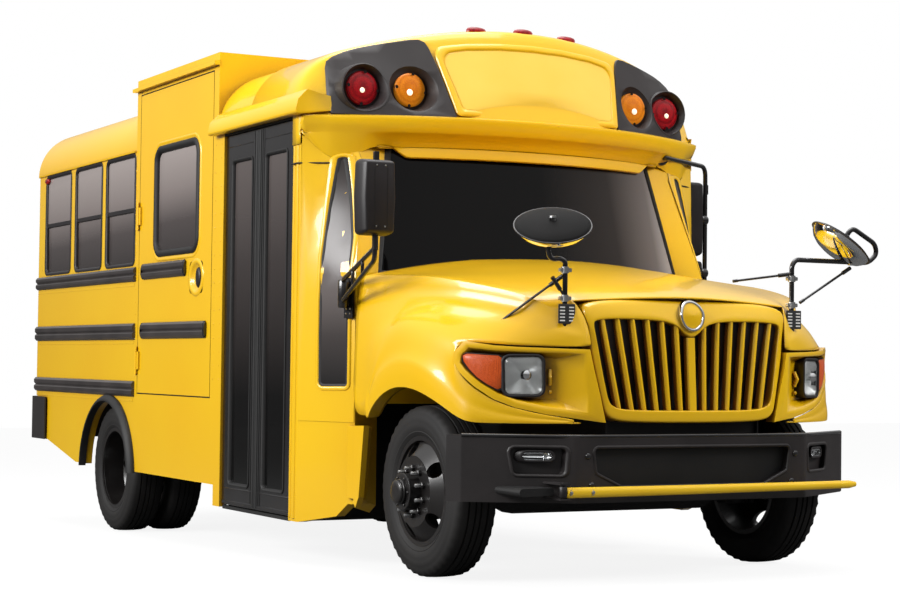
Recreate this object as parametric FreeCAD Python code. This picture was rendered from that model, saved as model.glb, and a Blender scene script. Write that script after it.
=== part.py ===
"""School bus on a cutaway truck chassis, with a raised wheelchair-lift doorway.

Millimetres. The bus faces -Y with its entrance door on the -X side, and +Z is up.
Everything is modelled in the body frame, where the floor is level and the origin is the ground
point midway between the front wheels. The sprung body sits a little nose down, so the last step
turns the whole assembly by RAKE about that point, which puts all the tyres on the ground, and
then moves the origin to the middle of the footprint.
"""
import FreeCAD, Part
import math
import os

V = FreeCAD.Vector

# ---------------------------------------------------------------- driving dimensions
RAKE = 1.46                 # degrees the body sits nose down
WHEELBASE = 4010
FRONT_TRACK = 1870          # between the tyre centres
DUAL_OUTER = 1082           # centreline to the outer rear tyre's centre
DUAL_SPACING = 262          # between the centres of twin tyres

TYRE_SECTION = 225          # 225/70R19.5
TYRE_ASPECT = 0.70
RIM_DIAMETER = 495.3
RIM_WIDTH = 172
RIM_LIP = 12                # how far the flange stands above the bead seat
TYRE_RADIUS = RIM_DIAMETER / 2 + TYRE_SECTION * TYRE_ASPECT

BODY_HALF = 1219            # 96 inch body
WALL = 45
SKIRT = 307                 # lower edge of the side panels
FLOOR_TOP = 850
FLOOR_THICK = 50
SILL = 1603                 # lower edge of the side windows
WINDOW_TOP = 2298
EAVE = 2311                 # drip rail, where the walls meet the roof
CROWN = 2775
ROOF_CORNER = 0.711 * (CROWN - EAVE)      # radius where the roof turns down into the walls
ROOF_THICK = 40
REAR = 5700                 # outside of the rear wall
REAR_WALL = 60

WINDOWS = (3575, 4147), (4235, 4807), (4908, 5495)     # passenger windows on the lift side
WINDOW_RADIUS = 40

DOORWAY = (1124, 2080)      # entrance door, along Y
DOORWAY_LOW = 200
DOORWAY_HIGH = 2280
LEAF_THICK = 38
LEAF_RECESS = 14            # how far the leaves sit in from the body side

LIFT_DOORWAY = (2247, 3494)
LIFT_LOW = 800
LIFT_BOX = (2171, 3561)     # raised box over the lift door
LIFT_BOX_TOP = 2757
LIFT_HIGH = LIFT_BOX_TOP - 102
LIFT_ROOF_CUT = -700        # how far in the roof is open over the lift doorway

REAR_DOOR_HALF = 390
REAR_DOOR_LOW = 800
REAR_DOOR_HIGH = 2240

GAP = 8                     # all round a door
RUNNING = 0.05              # radial clearance of a pin in its hole

FRAME_HALF = 432            # outside of the frame rails
RAIL_LOW = 520
RAIL_HIGH = 760
RAIL_FLANGE = 75
RAIL_PLATE = 8
FRAME_FRONT = -662
FRAME_REAR = REAR + 55

SEAM = 620                  # rear edge of the hood
KINGPIN_X = 800
KINGPIN_RADIUS = 20
SPINDLE_RADIUS = 35
HOOD_PIVOT = (-700, 772)
HOOD_SKIN = 26
GATE_PIVOT = (-748, -812)
GATE_Z = 449


# ---------------------------------------------------------------- frame helpers
def unrake(y, z):
    """body-frame (y, z) of a point given on the ground frame"""
    a = math.radians(RAKE)
    return y * math.cos(a) + z * math.sin(a), z * math.cos(a) - y * math.sin(a)


FRONT_HUB = unrake(0, TYRE_RADIUS)
REAR_HUB = unrake(WHEELBASE, TYRE_RADIUS)


# ---------------------------------------------------------------- shape helpers
def box(x, y, z):
    """block between (low, high) pairs"""
    return Part.makeBox(x[1] - x[0], y[1] - y[0], z[1] - z[0], V(x[0], y[0], z[0]))


def outline(points, place):
    """closed wire through (a, b) or (a, b, corner radius), set in space by place"""
    flat = [V(p[0], p[1], 0) for p in points]
    corners = []
    for i, b in enumerate(flat):
        radius = points[i][2] if len(points[i]) > 2 else 0
        if radius == 0:
            corners.append((b, b, b))
            continue
        u = (flat[i - 1] - b).normalize()
        w = (flat[(i + 1) % len(flat)] - b).normalize()
        half = u.getAngle(w) / 2
        cut = radius / math.tan(half)
        centre = b + (u + w).normalize() * (radius / math.sin(half))
        middle = centre + (b - centre).normalize() * radius
        corners.append((b + u * cut, middle, b + w * cut))
    edges = []
    for i, (start, middle, end) in enumerate(corners):
        if (end - start).Length > 1e-6:
            edges.append(Part.Arc(place(start), place(middle), place(end)).toShape())
        following = corners[(i + 1) % len(corners)][0]
        if (following - end).Length > 1e-6:
            edges.append(Part.LineSegment(place(end), place(following)).toShape())
    return Part.Wire(edges)


def section(points, axis, at):
    """outline across an axis: (y, z) across x, (x, z) across y, (x, y) across z"""
    place = {
        "x": lambda p: V(at, p.x, p.y),
        "y": lambda p: V(p.x, at, p.y),
        "z": lambda p: V(p.x, p.y, at),
    }[axis]
    return outline(points, place)


def prism(points, axis, low, high, slant=0):
    """outline carried along an axis; slant shifts the far end along Y"""
    way = {"x": V(1, 0, 0), "y": V(0, 1, 0), "z": V(0, 0, 1)}[axis] * (high - low)
    return Part.Face(section(points, axis, low)).extrude(way + V(0, slant, 0))


def loft(wires):
    """straight-sided solid through outlines with matching corners"""
    return Part.makeLoft(wires, True, True)


def turned(points, centre, about="x"):
    """solid of revolution; points are (along, radius) from the centre (x, y, z)"""
    c = V(*centre)
    if about == "x":
        place = lambda p: c + V(p.x, 0, p.y)
        axis = V(1, 0, 0)
    elif about == "y":
        place = lambda p: c + V(0, p.x, p.y)
        axis = V(0, 1, 0)
    else:
        place = lambda p: c + V(p.y, 0, p.x)
        axis = V(0, 0, 1)
    return Part.Face(outline(points, place)).revolve(c, axis, 360)


def rod(start, end, radius):
    """round bar between two points"""
    a, b = V(*start), V(*end)
    return Part.makeCylinder(radius, (b - a).Length, a, b - a)


def pipe(points, radius):
    """round bar through points, with ball corners"""
    parts = [rod(a, b, radius) for a, b in zip(points, points[1:])]
    parts += [Part.makeSphere(radius, V(*p)) for p in points[1:-1]]
    return join(parts)


def join(shapes):
    """one solid from touching ones"""
    shapes = list(shapes)
    if len(shapes) == 1:
        return shapes[0]
    return shapes[0].multiFuse(shapes[1:]).removeSplitter()


def cut(shape, tools):
    """shape less its tools"""
    return shape.cut(Part.makeCompound(list(tools)))


def mirrored(shape):
    """the other side's copy"""
    return shape.mirror(V(0, 0, 0), V(1, 0, 0))


def both(shapes):
    """shapes with their mirror images"""
    return list(shapes) + [mirrored(s) for s in shapes]


def group(shapes):
    """solids that stay apart in one node"""
    return Part.makeCompound(list(shapes))


def inset(points, by):
    """outline moved inwards by a distance, with mitred corners; corner radii shrink to suit"""
    flat = [V(p[0], p[1], 0) for p in points]
    count = len(flat)
    area = sum(flat[i - 1].x * flat[i].y - flat[i].x * flat[i - 1].y for i in range(count))
    turn = 1 if area > 0 else -1
    moved = []
    for i, b in enumerate(flat):
        before = (b - flat[i - 1]).normalize()
        after = (flat[(i + 1) % count] - b).normalize()
        n1 = V(-before.y, before.x, 0) * turn
        n2 = V(-after.y, after.x, 0) * turn
        mitre = (n1 + n2).normalize()
        p = b + mitre * (by / mitre.dot(n1))
        radius = points[i][2] if len(points[i]) > 2 else 0
        moved.append((p.x, p.y, max(radius - by, 0)))
    return moved


def ribbon(points, thick):
    """closed outline of a bent sheet: its outer points, then the same moved to the left by thick"""
    flat = [V(p[0], p[1], 0) for p in points]
    inner = []
    for i, b in enumerate(flat):
        before = (b - flat[i - 1]).normalize() if i > 0 else None
        after = (flat[i + 1] - b).normalize() if i < len(flat) - 1 else None
        before = before or after
        after = after or before
        n1 = V(-before.y, before.x, 0)
        n2 = V(-after.y, after.x, 0)
        mitre = (n1 + n2).normalize()
        p = b + mitre * (thick / mitre.dot(n1))
        inner.append((p.x, p.y))
    return [(p.x, p.y) for p in flat] + inner[::-1]


# ---------------------------------------------------------------- chassis
def c_channel(y):
    """one frame rail, open towards the centreline"""
    web = (FRAME_HALF - RAIL_PLATE, FRAME_HALF)
    flange = (FRAME_HALF - RAIL_FLANGE, FRAME_HALF)
    return join([
        box(web, y, (RAIL_LOW, RAIL_HIGH)),
        box(flange, y, (RAIL_LOW, RAIL_LOW + RAIL_PLATE)),
        box(flange, y, (RAIL_HIGH - RAIL_PLATE, RAIL_HIGH)),
    ])


CROSS_MEMBERS = (-600, 1180, 2300, 3300, 4700, 5600)
CROSS_LOW = 640
CROSS_WIDE = 80


TOW_EYE = (5660, 262)       # y and z of the rear tow eyes
TOW_EYE_X = (398, 423)
TOW_EYE_RADIUS = 20


def tow_eye():
    """plate with a hole, hung under a rail's rear end"""
    y, z = TOW_EYE
    plate = prism([(y - 70, RAIL_LOW), (y - 38, z - 38, 34), (y + 38, z - 38, 34), (y + 70, RAIL_LOW)],
                  "x", *TOW_EYE_X)
    return plate.cut(rod((TOW_EYE_X[0] - 1, y, z), (TOW_EYE_X[1] + 1, y, z), TOW_EYE_RADIUS))


def frame_rails():
    """two channel rails with cross members, the hood's hinge brackets and the rear tow eyes"""
    inside = FRAME_HALF - RAIL_PLATE
    rails = both([c_channel((FRAME_FRONT, FRAME_REAR))])
    crosses = [
        box((-inside, inside), (y - CROSS_WIDE / 2, y + CROSS_WIDE / 2), (CROSS_LOW, RAIL_HIGH))
        for y in CROSS_MEMBERS
    ]
    return join(rails + crosses + both([hood_ear()]) + both([tow_eye()]))


HOOD_EAR_X = (380, 404)
HOOD_EYE_X = (406, 430)
HOOD_PIN_RADIUS = 10
HOOD_EAR_RADIUS = 20
HOOD_EYE_RADIUS = 24
HOOD_RELIEF = ((345, 445), (-727, -640), (700, 803))    # where the nose's skin is thin, round the pivot


def hood_ear():
    """bracket on the rail's front end that reaches forward to the hood's hinge pin"""
    y, z = HOOD_PIVOT
    tip = rod((HOOD_EAR_X[0], y, z), (HOOD_EAR_X[1], y, z), HOOD_EAR_RADIUS)
    reach = box(HOOD_EAR_X, (y, FRAME_FRONT + 80), (RAIL_HIGH - RAIL_PLATE, z + HOOD_EAR_RADIUS))
    pin = rod((HOOD_EAR_X[1], y, z), (HOOD_EYE_X[1], y, z), HOOD_PIN_RADIUS)
    return join([tip, reach, pin])


def hood_eye():
    """lug inside the hood's nose that turns on the pin"""
    y, z = HOOD_PIVOT
    eye = rod((HOOD_EYE_X[0], y, z), (HOOD_EYE_X[1], y, z), HOOD_EYE_RADIUS)
    web = box(HOOD_EYE_X, (HOOD_RELIEF[1][0] - 2, y), (z - HOOD_EYE_RADIUS, z + HOOD_EYE_RADIUS))
    bore = rod((HOOD_EYE_X[0] - 1, y, z), (HOOD_EYE_X[1] + 1, y, z), HOOD_PIN_RADIUS + RUNNING)
    return join([eye, web]).cut(bore)


ENGINE = ((-320, 320), (-430, 560), (600, 1250))
GEARBOX = ((-180, 180), (560, 1060), (420, 740))


def engine():
    """engine and gearbox as plain blocks, with the arms that rest on the rails"""
    arm = box((ENGINE[0][1], FRAME_HALF), (60, 160), (RAIL_HIGH, RAIL_HIGH + 40))
    return join([box(*ENGINE), box(*GEARBOX)] + both([arm]))


RADIATOR_Y = (-580, -520)


def radiator():
    core = box((-360, 360), RADIATOR_Y, (RAIL_HIGH, 1180))
    return cut(core, [box((-320, 320), (RADIATOR_Y[0] - 1, RADIATOR_Y[0] + 12), (820, 1120))])


TANK = ((-1120, -480), (2380, 3260), (360, 740))


def fuel_tank():
    x, y, z = TANK
    shell = prism([(x[0], z[0], 60), (x[1], z[0], 60), (x[1], z[1], 60), (x[0], z[1], 60)], "y", *y)
    hangers = [box((x[1] - 1, -FRAME_HALF), (at, at + 60), (z[0] + 180, z[1] - 20))
               for at in (y[0] + 120, y[1] - 180)]
    return join([shell] + hangers)


AXLE_EYE = 44               # half height of the beam's eye at the kingpin
BEAM_DEPTH = 90
BEAM_DROP = 70
FRONT_SPRING_X = (390, 466)
REAR_SPRING_X = (FRAME_HALF + 22, FRAME_HALF + 98)
SADDLE_LOW = 84             # the flat under each rear spring, below the axle's centre


def front_axle():
    """dropped beam with an upright kingpin in each eye"""
    y, z = FRONT_HUB
    low = z - BEAM_DROP - BEAM_DEPTH / 2
    high = z - BEAM_DROP + BEAM_DEPTH / 2
    half = [(0, low), (560, low, 60), (700, z - AXLE_EYE, 60), (KINGPIN_X + 20, z - AXLE_EYE),
            (KINGPIN_X + 20, z + AXLE_EYE), (680, z + AXLE_EYE, 60), (540, high, 60), (0, high)]
    beam = prism(half, "y", y - 38, y + 38)
    eye = rod((KINGPIN_X, y, z - AXLE_EYE), (KINGPIN_X, y, z + AXLE_EYE), 46)
    pin = rod((KINGPIN_X, y, z - KNUCKLE_HALF), (KINGPIN_X, y, z + KNUCKLE_HALF), KINGPIN_RADIUS)
    return join(both([beam, eye, pin]))


def rear_axle():
    """driving axle with its banjo housing, and the shaft from the gearbox"""
    y, z = REAR_HUB
    tube = rod((-SPINDLE_END, y, z), (SPINDLE_END, y, z), SPINDLE_RADIUS)
    casing = rod((-REAR_CASING, y, z), (REAR_CASING, y, z), 62)
    banjo = turned([(-170, 0), (-170, 90, 20), (-80, 200, 40), (80, 200, 40), (170, 90, 20), (170, 0)],
                   (0, y, z))
    saddles = both([box(REAR_SPRING_X, (y - 60, y + 60), (z - SADDLE_LOW, z - 50))])
    pinion = rod((0, y - 330, z + 20), (0, y - 100, z), 70)
    shaft = rod((0, GEARBOX[1][1] - 20, 600), (0, y - 330, z + 20), 45).cut(box(*GEARBOX))
    return join([tube, casing, banjo, pinion, shaft] + saddles)


SPRING_LEAF = 14


def leaf_spring(x, hub, length, rise, top_of_axle):
    """a pack of three curved leaves with end hangers up to the rail"""
    y, _ = hub
    parts = []
    for turn, share in enumerate((1.0, 0.78, 0.55)):
        half = length / 2 * share
        low = top_of_axle + SPRING_LEAF * (2 - turn)
        end = low + rise * share ** 2
        a = Part.Arc(V(x[0], y - half, end), V(x[0], y, low), V(x[0], y + half, end)).toShape()
        b = Part.Arc(V(x[0], y + half, end + SPRING_LEAF), V(x[0], y, low + SPRING_LEAF),
                     V(x[0], y - half, end + SPRING_LEAF)).toShape()
        c = Part.LineSegment(V(x[0], y + half, end), V(x[0], y + half, end + SPRING_LEAF)).toShape()
        d = Part.LineSegment(V(x[0], y - half, end + SPRING_LEAF), V(x[0], y - half, end)).toShape()
        parts.append(Part.Face(Part.Wire([a, c, b, d])).extrude(V(x[1] - x[0], 0, 0)))
    return parts


def leaf_springs():
    springs = []
    y, z = FRONT_HUB
    seat = z - BEAM_DROP + BEAM_DEPTH / 2
    front = leaf_spring(FRONT_SPRING_X, FRONT_HUB, 1160, 60, seat)
    for end in (-1, 1):
        at = y + end * 560
        front.append(box(FRONT_SPRING_X, (at - 30, at + 30), (seat + 80, RAIL_LOW)))
    springs.append(join(front))
    y, z = REAR_HUB
    seat = z + 62
    rear = leaf_spring(REAR_SPRING_X, REAR_HUB, 1400, 90, seat)
    rear.append(box(REAR_SPRING_X, (y - 60, y + 60), (z + 20, seat + 2)))
    for end in (-1, 1):
        at = y + end * 680
        rear.append(box((FRAME_HALF, REAR_SPRING_X[1]), (at - 40, at + 40), (seat + 110, RAIL_HIGH - 60)))
    springs.append(cut(join(rear), [rod((-SPINDLE_END, y, z), (SPINDLE_END, y, z), 62)]))
    return group(both(springs))


# ---------------------------------------------------------------- wheels and knuckles
KNUCKLE_HALF = 96           # half height over the knuckle's two ears
EAR_GAP = 1.0               # between an ear and the axle's eye
SPINDLE_END = 1062
REAR_CASING = 690
HUB_RADIUS = 84
HUB_CAP = 56
HAND_HOLES = 5
HAND_HOLE = (201, 37)       # circle and hole radius
DISC = 10
OUTSET = DUAL_SPACING / 2


def knuckle():
    """left knuckle: two ears on the kingpin, a brake plate and the wheel's spindle"""
    y, z = FRONT_HUB
    ears = []
    eye = AXLE_EYE + EAR_GAP
    for low, high in ((z - KNUCKLE_HALF, z - eye), (z + eye, z + KNUCKLE_HALF)):
        ears.append(rod((KINGPIN_X, y, low), (KINGPIN_X, y, high), 48))
        ears.append(box((KINGPIN_X, KINGPIN_X + 74), (y - 40, y + 40), (low, high)))
    web = box((KINGPIN_X + 52, KINGPIN_X + 74), (y - 60, y + 60), (z - KNUCKLE_HALF, z + KNUCKLE_HALF))
    spindle = rod((KINGPIN_X + 60, y, z), (SPINDLE_END, y, z), SPINDLE_RADIUS)
    arm = box((KINGPIN_X - 20, KINGPIN_X + 20), (y, y + 190), (z - KNUCKLE_HALF, z - KNUCKLE_HALF + 30))
    bore = rod((KINGPIN_X, y, z - 200), (KINGPIN_X, y, z + 200), KINGPIN_RADIUS + RUNNING)
    return cut(join(ears + [web, spindle, arm]), [bore])


def tyre(x):
    """one tyre centred at x"""
    half = TYRE_SECTION / 2
    bead = RIM_DIAMETER / 2 + 0.3
    inside = RIM_WIDTH / 2 - 0.5
    lip = bead + RIM_LIP
    side = [(inside, bead), (inside, lip), (half - 10, lip + 8), (half, bead + 75),
            (half - 10, TYRE_RADIUS - 30), (half - 38, TYRE_RADIUS)]
    points = side + [(-a, b) for a, b in side[::-1]]
    hub = REAR_HUB if abs(x) in (DUAL_OUTER, DUAL_OUTER - DUAL_SPACING) else FRONT_HUB
    return turned(points, (x, *hub))


def wheel_disc(x, hub, way):
    """pressed steel wheel at x whose disc stands out towards way (+1 or -1 along x)"""
    seat = RIM_DIAMETER / 2
    half = RIM_WIDTH / 2
    lip = seat + RIM_LIP
    rim = [(-half - 8, lip), (-half, lip), (-half, seat), (half, seat), (half, lip), (half + 8, lip),
           (half + 8, seat - 10), (-half - 8, seat - 10)]
    cone = [(half - 40, seat - 9), (half - 10, seat - 9), (OUTSET, 168), (OUTSET, HUB_RADIUS - 4),
            (OUTSET - DISC, HUB_RADIUS - 4), (OUTSET - DISC, 158)]
    turn = [[(a * way, b) for a, b in points] for points in (rim, cone)]
    wheel = join([turned(points, (x, *hub)) for points in turn])
    holes = []
    for i in range(HAND_HOLES):
        a = math.radians(360 / HAND_HOLES * (i + 0.2))
        at = (hub[0] + HAND_HOLE[0] * math.sin(a), hub[1] + HAND_HOLE[0] * math.cos(a))
        holes.append(rod((x, *at), (x + way * 200, *at), HAND_HOLE[1]))
    return cut(wheel, holes)


def front_rim():
    """left front wheel with its hub"""
    x = FRONT_TRACK / 2
    face = x + OUTSET
    hub = [(KINGPIN_X + 80, 0), (KINGPIN_X + 80, 70), (face - DISC - 12, 90), (face - DISC - 12, 150),
           (face - DISC, 150), (face - DISC, HUB_RADIUS), (face + 52, HUB_RADIUS),
           (face + 60, HUB_RADIUS - 8), (face + 60, HUB_CAP), (face + 88, HUB_CAP),
           (face + 96, HUB_CAP - 14), (face + 96, 0)]
    body = turned(hub, (0, *FRONT_HUB))
    bore = rod((KINGPIN_X, *FRONT_HUB), (SPINDLE_END + 2, *FRONT_HUB), SPINDLE_RADIUS + RUNNING)
    return cut(join([wheel_disc(x, FRONT_HUB, 1), body]), [bore])


def rear_rims():
    """left rear pair: discs back to back on one hub"""
    outer, inner = DUAL_OUTER, DUAL_OUTER - DUAL_SPACING
    face = inner + OUTSET
    hub = [(REAR_CASING + 6, 0), (REAR_CASING + 6, 100), (face - DISC - 12, 120), (face - DISC - 12, 150),
           (face - DISC, 150), (face - DISC, HUB_RADIUS), (face + 90, HUB_RADIUS), (face + 120, HUB_CAP),
           (face + 120, 0)]
    body = turned(hub, (0, *REAR_HUB))
    bore = rod((0, *REAR_HUB), (SPINDLE_END + 2, *REAR_HUB), SPINDLE_RADIUS + RUNNING)
    return cut(join([wheel_disc(outer, REAR_HUB, -1), wheel_disc(inner, REAR_HUB, 1), body]), [bore])


# ---------------------------------------------------------------- body shell
def arch(x, hub_y, centre_z, radius):
    """wheel-arch cutter"""
    return rod((x[0], hub_y, centre_z), (x[1], hub_y, centre_z), radius)


REAR_ARCH = (4022, 262, 478)      # centre y, centre z, radius
SKIRT_KICK = ((4712, SKIRT), (5370, 434))


def wall_outline(front, low):
    """side panel's outline across X: front edge, then skirt, kick-up, rear edge and eave"""
    return [(front, low), (2180, low), (2180, SKIRT), *SKIRT_KICK, (REAR - REAR_WALL, 434),
            (REAR - REAR_WALL, EAVE), (front, EAVE)]


def window_hole(y, z, x, radius=WINDOW_RADIUS):
    return prism([(y[0], z[0], radius), (y[1], z[0], radius), (y[1], z[1], radius), (y[0], z[1], radius)],
                 "x", *x)


WINDOW_PITCH = 672
LEFT_WINDOWS = [(1250, 1520)] + [tuple(y - WINDOW_PITCH * n for y in WINDOWS[0]) for n in (3, 2, 1)]
DRIVER_SILL = SILL - 160    # the driver's window reaches lower


def eyebrow():
    """small hood over the entrance door, clear of the cap and the roof beside it"""
    face = -BODY_HALF
    bar = prism([(face, DOORWAY_HIGH), (face - 40, DOORWAY_HIGH + 10, 12), (face - 44, EAVE + 40, 20),
                 (face, EAVE + 62)], "y", DOORWAY[0] - 160, DOORWAY[1] + 100)
    return bar.cut(join([front_cap(), roof()]))


def side_wall_right():
    """lift side: rear panel, door posts and the header over the entrance"""
    x = (-BODY_HALF, -BODY_HALF + WALL)
    panel = prism(wall_outline(DOORWAY[1], 190), "x", *x)
    header = box(x, (DOORWAY[0] - GAP, DOORWAY[1] + 1), (DOORWAY_HIGH, EAVE))
    holes = [window_hole(w, (SILL, WINDOW_TOP), (x[0] - 50, x[1] + 50)) for w in WINDOWS]
    holes.append(box((x[0] - 1, x[1] + 1), LIFT_DOORWAY, (LIFT_LOW - GAP, EAVE + 1)))
    holes.append(arch((x[0] - 1, x[1] + 1), *REAR_ARCH))
    wall = cut(join([panel, header]), holes)
    return join([wall, eyebrow()] + lift_hinge_pins() + leaf_pins(LEAF_HIGH - PIVOT_DEEP, DOORWAY_HIGH + 1))


def side_wall_left():
    """driver's side"""
    x = (BODY_HALF - WALL, BODY_HALF)
    points = [(DOORWAY[0], SKIRT), *SKIRT_KICK, (REAR - REAR_WALL, 434), (REAR - REAR_WALL, EAVE),
              (DOORWAY[0], EAVE)]
    panel = prism(points, "x", *x)
    holes = [window_hole(w, (SILL, WINDOW_TOP), (x[0] - 50, x[1] + 50))
             for w in list(WINDOWS) + LEFT_WINDOWS[1:]]
    holes.append(window_hole(LEFT_WINDOWS[0], (DRIVER_SILL, WINDOW_TOP), (x[0] - 50, x[1] + 50)))
    holes.append(arch((x[0] - 1, x[1] + 1), *REAR_ARCH))
    return join([cut(panel, holes), stop_arm_bracket()])


def roof_outline(grow=0):
    """roof section: two corner arcs and one crown arc, tangent to each other"""
    half = BODY_HALF + grow
    corner = ROOF_CORNER
    across = half - corner
    rise = CROWN + grow - EAVE
    below = (across ** 2 - (rise - corner) ** 2) / (2 * (rise - corner))
    crown = rise + below
    lean = math.atan2(across, below)
    touch = (crown * math.sin(lean), EAVE - below + crown * math.cos(lean))
    half_turn = (math.pi / 2 - lean) / 2
    mid = (across + corner * math.cos(half_turn), EAVE + corner * math.sin(half_turn))
    return half, touch, mid, CROWN + grow


def roof_prism(y, grow=0):
    """solid with the roof's section between two y"""
    half, touch, mid, top = roof_outline(grow)
    at = lambda p: V(p[0], y[0], p[1])
    left = Part.Arc(at((-half, EAVE)), at((-mid[0], mid[1])), at((-touch[0], touch[1]))).toShape()
    crown = Part.Arc(at((-touch[0], touch[1])), at((0, top)), at(touch)).toShape()
    right = Part.Arc(at(touch), at(mid), at((half, EAVE))).toShape()
    base = Part.LineSegment(at((half, EAVE)), at((-half, EAVE))).toShape()
    return Part.Face(Part.Wire([left, crown, right, base])).extrude(V(0, y[1] - y[0], 0))


CAP_REAR = 1700
REAR_DOME = 260


def roof():
    """roof shell with its rounded rear end, open below and at the lift box"""
    side = [(CAP_REAR, EAVE), (REAR, EAVE), (REAR, CROWN + 20, REAR_DOME), (CAP_REAR, CROWN + 20)]
    outer = roof_prism((CAP_REAR, REAR)).common(prism(side, "x", -2000, 2000))
    inner_side = [(CAP_REAR - 1, EAVE - 1), (REAR - ROOF_THICK, EAVE - 1),
                  (REAR - ROOF_THICK, CROWN + 20 - ROOF_THICK, REAR_DOME - ROOF_THICK),
                  (CAP_REAR - 1, CROWN + 20 - ROOF_THICK)]
    inner = roof_prism((CAP_REAR - 1, REAR), -ROOF_THICK).common(prism(inner_side, "x", -2000, 2000))
    opening = box((-2000, LIFT_ROOF_CUT), LIFT_DOORWAY, (EAVE - 1, 3000))
    return cut(outer, [inner, opening])


def lift_box():
    """raised housing over the lift doorway: two cheeks, a top and the head of the door frame"""
    x = (-BODY_HALF, 0)
    solid = box(x, LIFT_BOX, (EAVE, LIFT_BOX_TOP))
    hollow = box((x[0] - 1, x[1] + 1), (LIFT_DOORWAY[0], LIFT_DOORWAY[1]), (EAVE - 1, LIFT_BOX_TOP - 30))
    head = box((x[0], x[0] + WALL), LIFT_DOORWAY, (LIFT_HIGH + GAP, LIFT_BOX_TOP - 30))
    gutter = prism([(-BODY_HALF, 2683), (-BODY_HALF - 34, 2683), (-BODY_HALF - 34, 2704),
                    (-BODY_HALF, 2712)], "y", LIFT_BOX[0] - 6, LIFT_BOX[1] + 6)
    shell = join([cut(solid, [hollow]), head, gutter])
    doorway = box((-2000, LIFT_ROOF_CUT), LIFT_DOORWAY, (EAVE - 1, 3000))
    return shell.cut(roof_prism(LIFT_BOX).cut(doorway))


NOSE_FRONT = 617            # y of the cap's face on the centreline, at its lower edge
NOSE_RADIUS = 1.656 * BODY_HALF      # plan radius of that face
NOSE_CENTRE = NOSE_FRONT + NOSE_RADIUS
CAP_LOW = 2130
CAP_POST = DOORWAY[0] - GAP      # the cap's lower part ends at the door post
CAP_FACE_LOW = 2270
CAP_LEAN = math.tan(math.radians(21))
BROW_OUT = 45               # how far the brow stands out from the face above it
BROW_HIGH = 82


def nose_outline(radius, centre, rear, half):
    """plan outline with a bowed front edge, as a face at z = 0"""
    reach = math.sqrt(radius ** 2 - half ** 2)
    left, right = V(-half, centre - reach, 0), V(half, centre - reach, 0)
    bow = Part.Arc(left, V(0, centre - radius, 0), right).toShape()
    corners = [right, V(half, rear, 0), V(-half, rear, 0), left]
    sides = [Part.LineSegment(a, b).toShape() for a, b in zip(corners, corners[1:])]
    return Part.Face(Part.Wire([bow] + sides))


def nose_prism(radius, centre, rear, half, z, lean=0.0):
    """bowed plan outline carried up from z[0] to z[1], leaning back"""
    face = nose_outline(radius, centre, rear, half)
    face.translate(V(0, 0, z[0]))
    return face.extrude(V(0, lean * (z[1] - z[0]), z[1] - z[0]))


def lamp_housing(x, y, z, ahead):
    """blind tube in the cap behind and round a front lens"""
    tube = rod((x, y - ahead, z), (x, y + LENS_DEEP + 12, z), HOUSING + 8)
    return tube if ahead < 60 else tube.common(cap_solid())


def front_cap():
    """moulded front roof cap: leaning sign face, brow band below it and the roof behind"""
    inside = BODY_HALF - WALL
    inner_roof = roof_prism((0, CAP_REAR + 1), -ROOF_THICK)
    inner = join([inner_roof, box((-inside, inside), (0, CAP_REAR + 1), (CAP_LOW, EAVE))])
    inner = inner.common(nose_prism(NOSE_RADIUS - 45, NOSE_CENTRE + 20, CAP_REAR + 1, BODY_HALF - 30,
                                    (CAP_LOW - 40, 3000), CAP_LEAN))
    brow_low = CAP_FACE_LOW - BROW_HIGH
    brow = nose_prism(NOSE_RADIUS + BROW_OUT, NOSE_CENTRE, CAP_POST, BODY_HALF + 8, (brow_low, CAP_FACE_LOW))
    shelf = nose_prism(NOSE_RADIUS - 20, NOSE_CENTRE, CAP_POST, BODY_HALF - 8, (CAP_LOW, brow_low))
    cap = cut(join([cap_solid(), brow, shelf]), [inner])
    cap = join([cap] + both([lamp_housing(*lamp) for lamp in FRONT_LAMPS]))
    hollows = both([rod((x, y - 400, z), (x, y + LENS_DEEP, z), HOUSING) for x, y, z, _ in FRONT_LAMPS])
    cabin = nose_prism(NOSE_RADIUS, GLASS_TOP_CENTRE + 40, CAP_REAR + 1, inside - 10,
                       (CAP_LOW - 1, EAVE + 9))
    return cut(cap, hollows + [cabin, box((-2000, 2000), (CAP_POST, 3000), (CAP_LOW - 1, EAVE))])


# windshield: bowed in plan with radius GLASS_RADIUS, leaning back between two heights
GLASS_RADIUS = 2000
GLASS_LOW, GLASS_HIGH = 1460, 2125
GLASS_LOW_CENTRE = 2496
GLASS_TOP_CENTRE = 2706
GLASS_LOW_HALF, GLASS_TOP_HALF = 915, 795
GLASS_THICK = 10


def glass_band(front, thick, z, centre, half):
    """closed bowed band at height z"""
    ends = []
    arcs = []
    for radius in (front, front - thick):
        reach = math.sqrt(radius ** 2 - half ** 2)
        left, right = V(-half, centre - reach, z), V(half, centre - reach, z)
        arcs.append(Part.Arc(left, V(0, centre - radius, z), right).toShape())
        ends.append((left, right))
    (outer_left, outer_right), (inner_left, inner_right) = ends
    right_edge = Part.LineSegment(outer_right, inner_right).toShape()
    left_edge = Part.LineSegment(inner_left, outer_left).toShape()
    return Part.Wire([arcs[0], right_edge, arcs[1], left_edge])


def windshield():
    return loft([
        glass_band(GLASS_RADIUS, GLASS_THICK, GLASS_LOW, GLASS_LOW_CENTRE, GLASS_LOW_HALF),
        glass_band(GLASS_RADIUS, GLASS_THICK, GLASS_HIGH, GLASS_TOP_CENTRE, GLASS_TOP_HALF),
    ])


COLUMN_THICK = WALL
STEP_LOW = 188              # lower edge of the corner panel beside the entrance
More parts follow.
